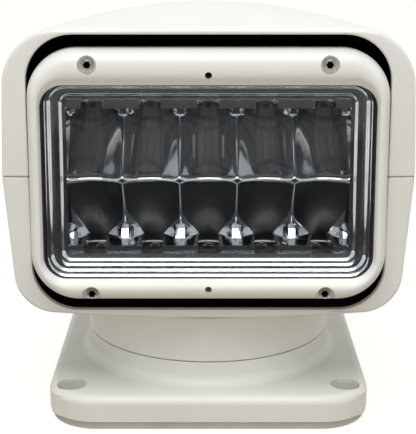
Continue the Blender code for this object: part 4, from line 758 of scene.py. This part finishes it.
def opening_arc(up, y, grow=0.0):
    """The front opening's edge with the same count of points as a half arc."""
    half_x = OPEN_HALF_X + grow
    level = OPEN_TOP + grow if up > 0 else OPEN_BOTTOM - grow
    radius = OPEN_CORNER + grow
    start = Vector((half_x, SEAM_Z + up * SEAM_SHOWN / 2.0))
    low = Vector((half_x, level - up * radius))
    reach = (low - start).length
    points = [start.lerp(low, step / reach) for step in SEAM_STEPS]
    points += [start.lerp(low, i / SIDE_STEPS) for i in range(1, SIDE_STEPS)]
    for i in range(CORNER_STEPS + 1):
        angle = math.radians(90.0 * i / CORNER_STEPS)
        points.append(Vector((half_x - radius + radius * math.cos(angle),
                              level - up * radius + up * radius * math.sin(angle))))
    for i in range(1, CROWN_STEPS + 1):
        points.append(Vector(((half_x - radius) * (1 - i / CROWN_STEPS), level)))
    return mirrored_row(points, y)


def at_depth(row, y):
    return [Vector((p.x, y, p.z)) for p in row]


def half_shell(up):
    """Rows of a half shell from the pole inside the back, round the opening, to the pole outside the back."""
    outer = fair([at_depth(half_arc(s, 0.0, up), s[0]) for s in SHELL_STATIONS], 0.3, 7)
    back_y = SHELL_STATIONS[-1][0]
    inner_stations = [s for s in SHELL_STATIONS if s[0] > SHELL_FRONT + FRONT_WALL]
    inner = [at_depth(half_arc(SHELL_STATIONS[2], SHELL_WALL, up), SHELL_FRONT + FRONT_WALL)]
    for s in inner_stations:
        shift = SHELL_WALL * max(0.0, (s[0] - 40.0) / (back_y - 40.0))
        inner.append(at_depth(half_arc(s, SHELL_WALL, up), s[0] - shift))
    inner = fair(inner, 0.12, 3)
    pole = Vector((0.0, 0.0, SEAM_Z + up * SEAM_SHOWN / 2.0))

    def closing(row, y, crown):
        rows = []
        for i in range(1, POLE_ROWS + 1):
            keep = 1.0 - i / POLE_ROWS
            rows.append([Vector((p.x * keep, y + crown * (1 - keep ** 2), pole.z + (p.z - pole.z) * keep))
                         for p in row])
        return rows

    mouth = [opening_arc(up, SHELL_FRONT + back, grow) for back, grow in quarter(MOUTH_EDGE, MOUTH_ROWS - 2)]
    rows = list(reversed(closing(inner[-1], back_y - SHELL_WALL, 0.0))) + list(reversed(inner))
    inside_rows = len(rows)
    rows += [opening_arc(up, SHELL_FRONT + FRONT_WALL)] + mouth + outer + closing(outer[-1], back_y, 0.0)
    return rows, inside_rows


def soften_seam(rows, edge):
    """Rounds the outer edge along the seam by moving the first columns in along the surface normal."""
    for r, row in enumerate(rows):
        after = rows[min(r + 1, len(rows) - 1)]
        before = rows[max(r - 1, 0)]
        for column, share in ((0, 1.0), (1, 0.3), (-1, 1.0), (-2, 0.3)):
            along = after[column] - before[column]
            if along.length < 1e-6:
                continue
            sideways = Vector((0.0, 0.0, 1.0)).cross(along).normalized()
            outwards = Vector((row[column].x, row[column].y + 20.0, 0.0))
            if sideways.dot(outwards) < 0.0:
                sideways.negate()
            row[column] = row[column] - sideways * edge * share


def make_half_shell(name, up, node):
    rows, inside_rows = half_shell(up)
    outer_from = inside_rows + MOUTH_ROWS
    outer_rows = [list(row) for row in rows[outer_from:-POLE_ROWS]]
    soften_seam(outer_rows, sizes().shell_edge)
    rows = rows[:outer_from] + outer_rows + rows[-POLE_ROWS:]
    body = spread_rows(rows, False, False)
    body.faces.ensure_lookup_table()
    per_row = len(rows[0]) - 1
    # faces of the inside rows take the second finish, the near black painted shade
    for n, face in enumerate(body.faces):
        face.material_index = 1 if n // per_row < inside_rows else 0
    bmesh.ops.remove_doubles(body, verts=body.verts, dist=0.002)
    fill_holes(body)
    bmesh.ops.recalc_face_normals(body, faces=body.faces)
    made = to_object(name, body)
    # the second finish is the near black painted shade of the inside
    for coat in ("housing_white", "painted_shade_lining"):
        made.data.materials.append(finish(coat))
    if up < 0:
        posts = [cylinder((sx * x, y), foot + POST_LIFT, SEAM_Z - SEAM_GAP / 2.0 - 0.2, SHELL_POST_R, 24)
                 for x, y, foot in SHELL_POSTS for sx in (-1, 1)]
        combine(made, 'UNION', merged(posts))
        bores = [cylinder((sx * x, y), 40.0, SHELL_SCREW_SEAT, SCREW_HEAD_R + 0.5, 32)
                 for x, y, _ in SHELL_POSTS for sx in (-1, 1)]
        combine(made, 'DIFFERENCE', merged(bores + [cylinder((0.0, 0.0), 45.0, 57.0, NECK_HOLE_R, 40)]))
    complete(made, [], "turret", [node], sharp=40.0)


def screw_seat(z):
    """Depth of a bezel screw's seat: the lower pair sits deeper, to pass the shell when the lamp tilts."""
    return UPPER_SEAT if z > 0.0 else LOWER_SEAT


def make_bezel():
    sections = [ring_xz(rounded_rect(hx, hz, r, (0.0, dz), 14, 10), y) for hx, hz, dz, r, y in BEZEL_RINGS]
    rows = [sections[0]] + fair(sections[1:], 1.2, 6)
    lip = rounded_rect(VIEW_HALF_X, WINDOW_HALF_Z, VIEW_CORNER, (0.0, FACE_DZ), 14, 10)
    recess = rounded_rect(RECESS_HALF_X, RECESS_HALF_Z, RECESS_CORNER, (0.0, FACE_DZ), 14, 10)
    rows += [ring_xz(lip, BEZEL_LIP - 0.2), ring_xz(lip, BEZEL_LIP), ring_xz(recess, BEZEL_LIP),
             ring_xz(recess, BEZEL_BACK)]
    made = to_object("lamp_bezel_frame", tidy(spread_rows(rows, True, True)))
    bores = [cylinder(s, -60.0, screw_seat(s[1]), BEZEL_CBORE_R, 48, 'Y') for s in BEZEL_SCREWS]
    combine(made, 'DIFFERENCE', merged(bores))
    holes = [cylinder(s, -60.0, -18.0, SCREW_HOLE_R, 24, 'Y') for s in BEZEL_SCREWS]
    holes += [cylinder((0.0, FACE_DZ + dz), -60.0, BEZEL_BACK + 3.0, DRAIN_R, 32, 'Y')
              for dz in (DRAIN_DZ, -DRAIN_DZ)]
    combine(made, 'DIFFERENCE', merged(holes))
    round_edges(made, sizes().bore_edge, 42.0)
    complete(made, ["housing_white"], "lamp", ["lamp_bezel"], LAMP_PLACE, 40.0)


def make_lens():
    half_x = RECESS_HALF_X - GAP
    half_z = RECESS_HALF_Z - GAP
    corner = RECESS_CORNER - GAP
    front = BEZEL_LIP + GAP
    edge = 0.5

    def loop(inset, y):
        return ring_xz(rounded_rect(half_x - inset, half_z - inset, corner - inset, (0.0, FACE_DZ), 10, 4), y)

    rows = [loop(inset, front + back) for inset, back in quarter(edge, 3)]
    body = spread_rows(rows + [loop(0.0, front + LENS_T - edge), loop(edge, front + LENS_T)])
    fill_holes(body)
    made = to_object("front_lens", tidy(body))
    complete(made, ["clear_lens"], "lamp", ["lens"], LAMP_PLACE, 30.0)
    made.visible_shadow = False


# stepped frame of the reflector, from its front edge inwards: half width, top, bottom, corner radius, depth
FRAME_FROM = (WINDOW_HALF_X + 2.0, WINDOW_HALF_Z + 0.9, WINDOW_HALF_Z + 0.9, 10.0, 0.0)
FRAME_TO = (WINDOW_HALF_X - 7.6, WINDOW_HALF_Z - 5.9, WINDOW_HALF_Z - 8.0, 3.4, 4.1)
FRAME_WAVES = 4
FRAME_WAVE_STEPS = 8
FRAME_SWING = 0.95
FRAME_FLOOR = 4.3
EDGE_X = ARRAY_HALF_X - 1.2
EDGE_TOP = CELL_H - 0.8
EDGE_BOTTOM = CELL_H - 3.2
LAND_RISE = 4.2
LAND_Y = REFLECTOR_FRONT + FRAME_FLOOR - 1.0
MOUTH_R = 10.4
MOUTH_RISE = 8.6
FACET_DROP = 14.5
FACET_LEAN = 0.62
ACROSS_4F = 40.0
RIDGE_ROUND = 1.5
RIB_ROUND = 0.5
TIP_Y = -34.4
TIP_ROUND = 0.25
LED_SLOT_HALF = 4.7
SLOT_BACK = BOWL_BACK - 1.6
SLOT_FRONT = REFLECTOR_FRONT + FRAME_FLOOR + 1.2
SLOT_INTO = 0.6
SLOT_BEYOND = 4.0


def smooth_max(a, b, blend):
    """The greater of two depths, blended where they cross."""
    return (a + b + math.sqrt((a - b) ** 2 + blend ** 2)) / 2.0


def bowl_depth(x, z):
    """Depth of the mirror: half bowls back to back, ribs between them, facets and lands at their mouths."""
    rows = []
    for sign, edge in ((1, EDGE_TOP), (-1, EDGE_BOTTOM)):
        rise = CELL_H - (z - FACE_DZ) * sign
        climb = rise - CELL_H + edge
        columns = []
        nearest = sorted(CELL_CENTRES, key=lambda centre: abs(x - centre))[:2]
        for centre in nearest:
            across = x - centre
            depth = BOWL_BACK - across ** 2 / ACROSS_4F - rise ** 2 / BOWL_4F
            outside = math.hypot(across, max(0.0, MOUTH_RISE - climb)) - MOUTH_R
            if climb < MOUTH_RISE and outside > 0.0:
                facet = BOWL_BACK - FACET_DROP + FACET_LEAN * climb
                depth = min(depth, depth + (facet - depth) * min(1.0, outside / 0.7))
            columns.append(depth)
        rows.append(smooth_max(columns[0], columns[1], RIB_ROUND))
    depth = smooth_max(smooth_max(rows[0], rows[1], RIDGE_ROUND), TIP_Y, TIP_ROUND)
    edge = EDGE_TOP if z > FACE_DZ else EDGE_BOTTOM
    on_land = edge - abs(z - FACE_DZ) < LAND_RISE and abs(x - nearest[0]) > LED_SLOT_HALF
    return min(depth, LAND_Y) if on_land else depth


def fine_steps(low, high, edges, coarse, fine, reach):
    """Positions from low to high, close together near the given edges."""
    made = [low]
    while made[-1] < high - 1e-6:
        away = min(abs(made[-1] + 1e-6 - edge) for edge in edges)
        share = min(1.0, away / reach)
        made.append(made[-1] + fine + (coarse - fine) * share)
    scale = (high - low) / (made[-1] - low)
    return [low + (p - low) * scale for p in made]


def make_reflector():
    coarse = CELL_W / sizes().bowl_detail
    folds = [centre + sx * half for centre in CELL_CENTRES for half in (CELL_W / 2.0, LED_SLOT_HALF)
             for sx in (-1, 1)]
    half_columns = fine_steps(0.0, EDGE_X, [fold for fold in folds if fold > 0.0], coarse, 0.22, 2.0)
    low_rows, high_rows = [fine_steps(0.0, edge, [0.0, edge - LAND_RISE], coarse, 0.2, 3.0)
                           for edge in (EDGE_BOTTOM, EDGE_TOP)]
    xs = [-x for x in reversed(half_columns[1:])] + half_columns
    zs = [FACE_DZ - z for z in reversed(low_rows[1:])] + [FACE_DZ + z for z in high_rows]
    columns = len(xs) - 1
    high = len(zs) - 1
    body = bmesh.new()
    grid = [[body.verts.new((x, bowl_depth(x, z), z)) for z in zs] for x in xs]
    for i in range(columns):
        for j in range(high):
            body.faces.new((grid[i][j], grid[i + 1][j], grid[i + 1][j + 1], grid[i][j + 1]))
    rim = [(i, 0) for i in range(columns)] + [(columns, j) for j in range(high)]
    rim += [(i, high) for i in range(columns, 0, -1)] + [(0, j) for j in range(high, 0, -1)]
    edge = [grid[i][j] for i, j in rim]

    def frame_ring(half_x, top, bottom, radius, y):
        ring = []
        for i, j in rim:
            rise = zs[j] - FACE_DZ
            stretch = top / EDGE_TOP if rise > 0.0 else bottom / EDGE_BOTTOM
            p = Vector((xs[i] * half_x / EDGE_X, rise * stretch))
            core = Vector((max(-half_x + radius, min(half_x - radius, p.x)),
                           max(-bottom + radius, min(top - radius, p.y))))
            away = p - core
            if min(abs(away.x), abs(away.y)) > 1e-6:
                p = core + away.normalized() * radius
            ring.append(body.verts.new((p.x, y, p.y + FACE_DZ)))
        return ring

    flange = (RECESS_HALF_X - GAP, RECESS_HALF_Z - GAP, RECESS_HALF_Z - GAP, RECESS_CORNER - GAP)
    back = REFLECTOR_FRONT + REFLECTOR_FLANGE_T
    behind = (REFLECTOR_HALF_X, CELL_H + REFLECTOR_WALL, CELL_H + REFLECTOR_WALL, 2.5)
    rings = [frame_ring(EDGE_X, EDGE_TOP, EDGE_BOTTOM, 0.0, REFLECTOR_FRONT + FRAME_FLOOR)]
    turn = 2.0 * math.pi * FRAME_WAVES
    for i in range(FRAME_WAVES * FRAME_WAVE_STEPS, -1, -1):
        share = i / (FRAME_WAVES * FRAME_WAVE_STEPS)
        half_x, top, bottom, radius, fall = [a + (b - a) * share for a, b in zip(FRAME_FROM, FRAME_TO)]
        fall -= FRAME_TO[4] * FRAME_SWING * math.sin(turn * share) / turn
        rings.append(frame_ring(half_x, top, bottom, radius, REFLECTOR_FRONT + fall))
    rings += [frame_ring(*flange, REFLECTOR_FRONT), frame_ring(*flange, back), frame_ring(*behind, back),
              frame_ring(*behind, REFLECTOR_BACK)]
    chain = [edge] + rings
    for here, there in zip(chain, chain[1:]):
        for k in range(len(edge)):
            n = (k + 1) % len(edge)
            body.faces.new((here[k], here[n], there[n], there[k]))
    body.faces.new(list(reversed(rings[-1])))
    made = to_object("reflector_mirror", tidy(body))
    slots = []
    for x in CELL_CENTRES:
        for sign, edge_z in ((1, EDGE_TOP), (-1, EDGE_BOTTOM)):
            wall = FACE_DZ + sign * edge_z
            low_z, high_z = sorted((wall - sign * SLOT_INTO, FACE_DZ + sign * (CELL_H + SLOT_BEYOND)))
            slots.append(box_body((x - LED_SLOT_HALF, SLOT_FRONT, low_z),
                                  (x + LED_SLOT_HALF, SLOT_BACK, high_z)))
    combine(made, 'DIFFERENCE', merged(slots), 'MANIFOLD')
    made.data.materials.clear()
    round_edges(made, 0.35, 40.0)
    complete(made, ["mirror_coat"], "lamp", ["reflector"], LAMP_PLACE, 28.0)


# Repeated pieces by Geometry Nodes
def sized_inputs(tree, names):
    """Adds a geometry input, one float input for each name, a rotation and two materials to the tree."""
    kinds = [("Geometry", 'Geometry')] + [(name, 'Float') for name in names]
    kinds += [("Facing", 'Rotation'), ("Finish", 'Material'), ("Second Finish", 'Material')]
    sockets = {name: tree.interface.new_socket(name, in_out='INPUT', socket_type='NodeSocket' + kind)
               for name, kind in kinds}
    tree.interface.new_socket("Geometry", in_out='OUTPUT', socket_type='NodeSocketGeometry')
    return sockets, add(tree, "NodeGroupInput").outputs


def maths(tree, operation, first, second):
    return add(tree, "ShaderNodeMath", {0: first, 1: second}, operation=operation).outputs[0]


def along_z(tree, height):
    return add(tree, "ShaderNodeCombineXYZ", {"Z": height}).outputs[0]


def raised(tree, mesh, height, scale=(1.0, 1.0, 1.0)):
    given = {"Geometry": mesh, "Translation": along_z(tree, height), "Scale": scale}
    return add(tree, "GeometryNodeTransform", given).outputs[0]


def painted(tree, mesh, material):
    return add(tree, "GeometryNodeSetMaterial", {"Geometry": mesh, "Material": material}).outputs[0]


def united(tree, first, second):
    node = add(tree, "GeometryNodeMeshBoolean", operation='UNION')
    for mesh in (first, second):
        tree.links.new(mesh, node.inputs["Mesh 2"])
    return node.outputs["Mesh"]


def on_points(tree, sockets, given, piece):
    """Sets the piece on every point; hands back the tree and the identifiers of its inputs."""
    placed = add(tree, "GeometryNodeInstanceOnPoints",
                 {"Points": given["Geometry"], "Instance": piece, "Rotation": given["Facing"]})
    solid = add(tree, "GeometryNodeRealizeInstances", {"Geometry": placed.outputs[0]})
    add(tree, "NodeGroupOutput", {"Geometry": solid.outputs[0]})
    return tree, {name: socket.identifier for name, socket in sockets.items()}


def screw_tree():
    """Pan head screws with a six lobed recess, one on every point of the input."""
    tree = bpy.data.node_groups.new("lobed_screws", 'GeometryNodeTree')
    names = ("Head Radius", "Head Height", "Shank Radius", "Shank Length", "Recess Radius", "Recess Depth")
    sockets, given = sized_inputs(tree, names)
    radius, height = given["Head Radius"], given["Head Height"]
    waist = maths(tree, 'MULTIPLY', radius, 0.96)
    crown = maths(tree, 'MULTIPLY', radius, 0.72)
    lower = maths(tree, 'MULTIPLY', height, 0.62)
    upper = maths(tree, 'MULTIPLY', height, 0.38)
    skirt = add(tree, "GeometryNodeMeshCone",
                {"Vertices": 40, "Radius Top": waist, "Radius Bottom": radius, "Depth": lower})
    dome = add(tree, "GeometryNodeMeshCone",
               {"Vertices": 40, "Side Segments": 4, "Radius Top": crown, "Radius Bottom": waist,
                "Depth": upper})
    head = united(tree, skirt.outputs["Mesh"], raised(tree, dome.outputs["Mesh"], lower))
    inner = maths(tree, 'MULTIPLY', given["Recess Radius"], 0.76)
    star = add(tree, "GeometryNodeCurveStar",
               {"Points": 6, "Outer Radius": given["Recess Radius"], "Inner Radius": inner})
    lobes = add(tree, "GeometryNodeFilletCurve",
                {"Curve": star.outputs["Curve"], "Count": 3, "Radius": 0.0003, "Limit Radius": True},
                mode='POLY')
    floor = maths(tree, 'SUBTRACT', height, given["Recess Depth"])
    above = maths(tree, 'ADD', height, 0.001)
    path = add(tree, "GeometryNodeCurvePrimitiveLine",
               {"Start": along_z(tree, floor), "End": along_z(tree, above)})
    key = add(tree, "GeometryNodeCurveToMesh",
              {"Curve": path.outputs[0], "Profile Curve": lobes.outputs["Curve"], "Fill Caps": True})
    bright = painted(tree, head, given["Finish"])
    # the recess takes the second finish, near black: painted shade
    painted_shade_key = painted(tree, key.outputs["Mesh"], given["Second Finish"])
    cut = add(tree, "GeometryNodeMeshBoolean", {"Mesh 1": bright}, operation='DIFFERENCE')
    tree.links.new(painted_shade_key, cut.inputs["Mesh 2"])
    shank = add(tree, "GeometryNodeMeshCylinder",
                {"Vertices": 24, "Radius": given["Shank Radius"], "Depth": given["Shank Length"]})
    drop = maths(tree, 'MULTIPLY', given["Shank Length"], -0.499)
    stem = painted(tree, raised(tree, shank.outputs["Mesh"], drop), given["Finish"])
    return on_points(tree, sockets, given, united(tree, cut.outputs["Mesh"], stem))


def emitter_tree():
    """Light emitters: a square ceramic base under a dome, one on every point of the input."""
    tree = bpy.data.node_groups.new("emitter_row", 'GeometryNodeTree')
    sockets, given = sized_inputs(tree, ("Base Width", "Base Height", "Dome Radius"))
    width, height = given["Base Width"], given["Base Height"]
    size = add(tree, "ShaderNodeCombineXYZ", {"X": width, "Y": width, "Z": height})
    base = add(tree, "GeometryNodeMeshCube", {"Size": size.outputs[0]})
    seat = raised(tree, base.outputs["Mesh"], maths(tree, 'MULTIPLY', height, 0.5))
    ball = add(tree, "GeometryNodeMeshUVSphere",
               {"Segments": 24, "Rings": 12, "Radius": given["Dome Radius"]})
    dome = raised(tree, ball.outputs["Mesh"], height, (1.0, 1.0, 0.8))
    joined = add(tree, "GeometryNodeJoinGeometry")
    for mesh, coat in ((seat, "Finish"), (dome, "Second Finish")):
        tree.links.new(painted(tree, mesh, given[coat]), joined.inputs[0])
    return on_points(tree, sockets, given, joined.outputs[0])


def grow(name, tree, identifiers, points, values):
    """A plain mesh from a node tree run on a set of points, with its inputs set by their identifiers."""
    mesh = bpy.data.meshes.new(name)
    mesh.from_pydata([Vector(p) * MM for p in points], [], [])
    made = linked(name, mesh)
    step = made.modifiers.new("pieces", 'NODES')
    step.node_group = tree
    for key, value in values.items():
        step[identifiers[key]] = value
    settle(made)
    made.data.transform(Matrix.Scale(1.0 / MM, 4))
    return made


def screw_values(length, facing):
    spans = {"Head Radius": SCREW_HEAD_R, "Head Height": SCREW_HEAD_H, "Shank Radius": SCREW_R,
             "Shank Length": length, "Recess Radius": sizes().recess, "Recess Depth": RECESS_DEPTH}
    # the second finish paints the recess near black, as painted shade
    return {**{name: span * MM for name, span in spans.items()},
            "Facing": facing, "Finish": finish("stainless"), "Second Finish": finish("painted_shade_recess")}


def upright_screws(tree, identifiers, name, body, nodes, upwards=True):
    """A set of screws along Z, placed by the boxes of the CAD screws that they replace."""
    boxes = [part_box(node) for node in nodes]
    low, high = boxes[0]
    length = (high[2] - low[2]) / MM - SCREW_HEAD_H
    points = []
    for low, high in boxes:
        seat = high[2] / MM - SCREW_HEAD_H if upwards else low[2] / MM + SCREW_HEAD_H
        points.append((*centre_xy((low, high)), seat))
    facing = (0.0, 0.0, 0.0) if upwards else (math.pi, 0.0, 0.0)
    made = grow(name, tree, identifiers, points, screw_values(length, facing))
    complete(made, [], body, nodes, sharp=30.0)


def numbered(stem, count):
    return ["%s_%d" % (stem, n) for n in range(1, count + 1)]


class SEARCHLIGHT_OT_base(bpy.types.Operator):
    """Builds the deck gasket and the base moulding"""
    bl_idname = "searchlight.base"
    bl_label = "Base"

    def execute(self, context):
        make_deck_gasket()
        make_base_plate()
        return {'FINISHED'}


class SEARCHLIGHT_OT_collar(bpy.types.Operator):
    """Builds the turret collar"""
    bl_idname = "searchlight.collar"
    bl_label = "Collar"

    def execute(self, context):
        make_collar()
        return {'FINISHED'}


class SEARCHLIGHT_OT_shells(bpy.types.Operator):
    """Builds the two half shells of the head"""
    bl_idname = "searchlight.shells"
    bl_label = "Head shells"

    def execute(self, context):
        make_half_shell("upper_shell_skin", 1, "upper_shell")
        make_half_shell("lower_shell_skin", -1, "lower_shell")
        return {'FINISHED'}


class SEARCHLIGHT_OT_bezel(bpy.types.Operator):
    """Builds the lamp bezel and the clear lens"""
    bl_idname = "searchlight.bezel"
    bl_label = "Bezel and lens"

    def execute(self, context):
        make_bezel()
        make_lens()
        return {'FINISHED'}


class SEARCHLIGHT_OT_reflector(bpy.types.Operator):
    """Builds the mirror coated reflector"""
    bl_idname = "searchlight.reflector"
    bl_label = "Reflector"

    def execute(self, context):
        make_reflector()
        return {'FINISHED'}


class SEARCHLIGHT_OT_emitters(bpy.types.Operator):
    """Builds the two rows of light emitters"""
    bl_idname = "searchlight.emitters"
    bl_label = "Emitters"

    def execute(self, context):
        tree, identifiers = emitter_tree()
        names = ["led_%02d" % n for n in range(1, 11)]
        seat = CELL_H + REFLECTOR_WALL
        for row, sign, nodes in (("upper", 1, names[:5]), ("lower", -1, names[5:])):
            points = [(x, LED_Y, FACE_DZ + sign * seat) for x in CELL_CENTRES]
            values = {"Base Width": EMITTER_WIDE * MM, "Base Height": EMITTER_TALL * MM,
                      "Dome Radius": EMITTER_DOME_R * MM,
                      "Facing": (math.pi, 0.0, 0.0) if sign > 0 else (0.0, 0.0, 0.0),
                      "Finish": finish("alumina"), "Second Finish": finish("led_phosphor")}
            made = grow("emitters_" + row, tree, identifiers, points, values)
            complete(made, [], "lamp", nodes, LAMP_PLACE, 30.0)
        return {'FINISHED'}


class SEARCHLIGHT_OT_screws(bpy.types.Operator):
    """Builds every screw of the searchlight"""
    bl_idname = "searchlight.screws"
    bl_label = "Screws"

    def execute(self, context):
        tree, identifiers = screw_tree()
        upright_screws(tree, identifiers, "sun_gear_screws", "base", numbered("sun_screw", 3))
        upright_screws(tree, identifiers, "chassis_fixings", "turret", numbered("chassis_screw", 4))
        upright_screws(tree, identifiers, "bracket_fixings", "turret", numbered("bracket_screw", 2))
        upright_screws(tree, identifiers, "shell_fixings", "turret", numbered("shell_screw", 4), False)
        points = [(x, screw_seat(z) - GAP, z) for x, z in BEZEL_SCREWS]
        values = screw_values(BEZEL_SCREW_LONG, (math.pi / 2, 0.0, 0.0))
        made = grow("bezel_fixings", tree, identifiers, points, values)
        complete(made, [], "lamp", numbered("bezel_screw", 4), LAMP_PLACE, 30.0)
        return {'FINISHED'}


CAD_FINISHES = {
    "gear_plastic": ("sun_gear",),
    "bronze": ("thrust_washer", "spindle_nut", "tilt_bush_left", "tilt_bush_right"),
    "stainless": ("spindle", "pan_pinion", "tilt_pinion", "trunnion_left", "trunnion_right", "tilt_sector"),
    "zinc_plated": ("chassis", "tilt_bracket", "tilt_motor", "pan_motor"),
    "seam_rubber": ("seam_gasket",),
    "lens_rubber": ("lens_gasket",),
    "black_plastic": ("power_inlet", "lamp_gland"),
    "anodised": ("lamp_housing",),
    "board_green": ("control_board",),
    # upper board light, lower board near black: painted light and painted shade in the mirror bowls'
    # reflections
    "board_white": ("led_board_upper",),
    "board_painted_shade": ("led_board_lower",),
}


class SEARCHLIGHT_OT_inside(bpy.types.Operator):
    """Gives the working parts inside their finishes"""
    bl_idname = "searchlight.inside"
    bl_label = "Inside finishes"

    def execute(self, context):
        for name, nodes in CAD_FINISHES.items():
            for node in nodes:
                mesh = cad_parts[node].data
                if not mesh.materials:
                    mesh.materials.append(None)
                for n in range(len(mesh.materials)):
                    mesh.materials[n] = finish(name)
        return {'FINISHED'}


# Stage
def soft_lamp(name, at, aim, size, watts, mirrored):
    light = bpy.data.lights.new(name, 'AREA')
    light.shape = 'RECTANGLE'
    light.size = size[0]
    light.size_y = size[1]
    light.energy = watts
    made = linked(name, light)
    made.location = at
    made.rotation_euler = (Vector(aim) - Vector(at)).to_track_quat('-Z', 'Y').to_euler()
    made.visible_glossy = mirrored
    made.visible_transmission = mirrored


def stage_card(name, at, aim, size, low, high):
    """A card that only mirrors and glass see, its glow rising from its lower to its upper edge."""
    body = bmesh.new()
    bmesh.ops.create_grid(body, x_segments=1, y_segments=1, size=0.5)
    made = to_object(name, body)
    made.scale = (size[0], size[1], 1.0)
    made.location = at
    made.rotation_euler = (Vector(aim) - Vector(at)).to_track_quat('Z', 'Y').to_euler()
    made.visible_camera = False
    made.visible_diffuse = False
    made.visible_shadow = False
    surface = bpy.data.materials.new(name)
    tree = blank(surface)
    place = add(tree, "ShaderNodeSeparateXYZ", {0: add(tree, "ShaderNodeTexCoord").outputs["Object"]})
    level = add(tree, "ShaderNodeMapRange", {"Value": place.outputs["Y"], "From Min": -0.5, "From Max": 0.5,
                                             "To Min": low, "To Max": high})
    glow = add(tree, "ShaderNodeEmission", {"Color": (1.0, 1.0, 1.0, 1.0), "Strength": level.outputs[0]})
    add(tree, "ShaderNodeOutputMaterial", {"Surface": glow.outputs[0]})
    made.data.materials.append(surface)


def seen_directly(tree):
    """One for rays from the camera, off mirrors and through glass, nought for light that falls on things."""
    path = add(tree, "ShaderNodeLightPath").outputs
    first = maths(tree, 'MAXIMUM', path["Is Camera Ray"], path["Is Glossy Ray"])
    return maths(tree, 'MAXIMUM', first, path["Is Transmission Ray"])


def make_floor():
    body = bmesh.new()
    bmesh.ops.create_grid(body, x_segments=2, y_segments=2, size=4.0)
    made = to_object("floor", body)
    made.location.z = -0.0003
    surface = bpy.data.materials.new("floor_white")
    tree = blank(surface)
    matt = add(tree, "ShaderNodeBsdfDiffuse", {"Color": linear("#958B78")})
    glow = add(tree, "ShaderNodeEmission", {"Color": (1.0, 1.0, 1.0, 1.0), "Strength": 0.85})
    none = add(tree, "ShaderNodeEmission", {"Strength": 0.0})
    chosen = add(tree, "ShaderNodeMixShader",
                 {0: seen_directly(tree), 1: none.outputs[0], 2: glow.outputs[0]})
    both = add(tree, "ShaderNodeAddShader", {0: matt.outputs[0], 1: chosen.outputs[0]})
    add(tree, "ShaderNodeOutputMaterial", {"Surface": both.outputs[0]})
    made.data.materials.append(surface)


def make_world():
    world = bpy.data.worlds.new("studio")
    bpy.context.scene.world = world
    tree = blank(world)
    seen = add(tree, "ShaderNodeBackground", {"Color": (1.0, 1.0, 1.0, 1.0), "Strength": 1.0})
    cast = add(tree, "ShaderNodeBackground", {"Color": linear("#F9F9F9"), "Strength": 0.62})
    both = add(tree, "ShaderNodeMixShader", {0: seen_directly(tree), 1: cast.outputs[0], 2: seen.outputs[0]})
    add(tree, "ShaderNodeOutputWorld", {"Surface": both.outputs[0]})


def make_camera():
    camera = bpy.data.cameras.new("camera")
    camera.sensor_width = SENSOR_MM
    camera.lens = FOCAL_PX * SENSOR_MM / PHOTO_TALL_PX
    made = linked("camera", camera)
    made.location = Vector(CAMERA_AT) * MM
    made.rotation_euler = (math.radians(90.0 - CAMERA_PITCH), 0.0, 0.0)
    bpy.context.scene.camera = made


class SEARCHLIGHT_OT_stage(bpy.types.Operator):
    """Builds the floor, the studio light and the camera"""
    bl_idname = "searchlight.stage"
    bl_label = "Stage"

    def execute(self, context):
        context.scene.view_settings.view_transform = 'Standard'
        make_world()
        make_floor()
        make_camera()
        soft_lamp("key", (-0.05, -0.6, 1.3), (0.0, 0.0, 0.1), (0.9, 0.7), 10.2, True)
        soft_lamp("fill", (0.0, -1.1, 0.1), (0.0, 0.0, 0.14), (0.4, 0.2), 1.5, False)
        stage_card("front_flag", (0.0, -1.6, 0.4), (0.0, 0.0, 0.4), (1.5, 1.2), 0.03, 0.3)
        stage_card("floor_flag", (0.0, -1.03, 0.002), (0.0, -1.03, 1.0), (0.7, 1.74), 0.05, 0.03)
        return {'FINISHED'}


OPERATORS = (SEARCHLIGHT_OT_stage, SEARCHLIGHT_OT_inside, SEARCHLIGHT_OT_base, SEARCHLIGHT_OT_collar,
             SEARCHLIGHT_OT_shells, SEARCHLIGHT_OT_bezel, SEARCHLIGHT_OT_reflector, SEARCHLIGHT_OT_emitters,
             SEARCHLIGHT_OT_screws)


class SEARCHLIGHT_PT_panel(bpy.types.Panel):
    bl_idname = "SEARCHLIGHT_PT_panel"
    bl_label = "Searchlight"
    bl_space_type = 'VIEW_3D'
    bl_region_type = 'UI'
    bl_category = "Searchlight"

    def draw(self, context):
        for group in (context.scene.searchlight_sizes, context.scene.searchlight_colours):
            for name in group.bl_rna.properties.keys():
                if name not in ("rna_type", "name"):
                    self.layout.prop(group, name)
        for operator in OPERATORS:
            self.layout.operator(operator.bl_idname)


CLASSES = (SearchlightSizes, SearchlightColours) + OPERATORS + (SEARCHLIGHT_PT_panel,)


def register():
    for cls in CLASSES:
        bpy.utils.register_class(cls)
    bpy.types.Scene.searchlight_sizes = PointerProperty(type=SearchlightSizes)
    bpy.types.Scene.searchlight_colours = PointerProperty(type=SearchlightColours)


def unregister():
    del bpy.types.Scene.searchlight_colours
    del bpy.types.Scene.searchlight_sizes
    for cls in reversed(CLASSES):
        bpy.utils.unregister_class(cls)


def main():
    register()
    bpy.ops.searchlight.stage()
    bpy.ops.searchlight.inside()
    bpy.ops.searchlight.base()
    bpy.ops.searchlight.collar()
    bpy.ops.searchlight.shells()
    bpy.ops.searchlight.bezel()
    bpy.ops.searchlight.reflector()
    bpy.ops.searchlight.emitters()
    bpy.ops.searchlight.screws()


if __name__ == "__main__":
    main()
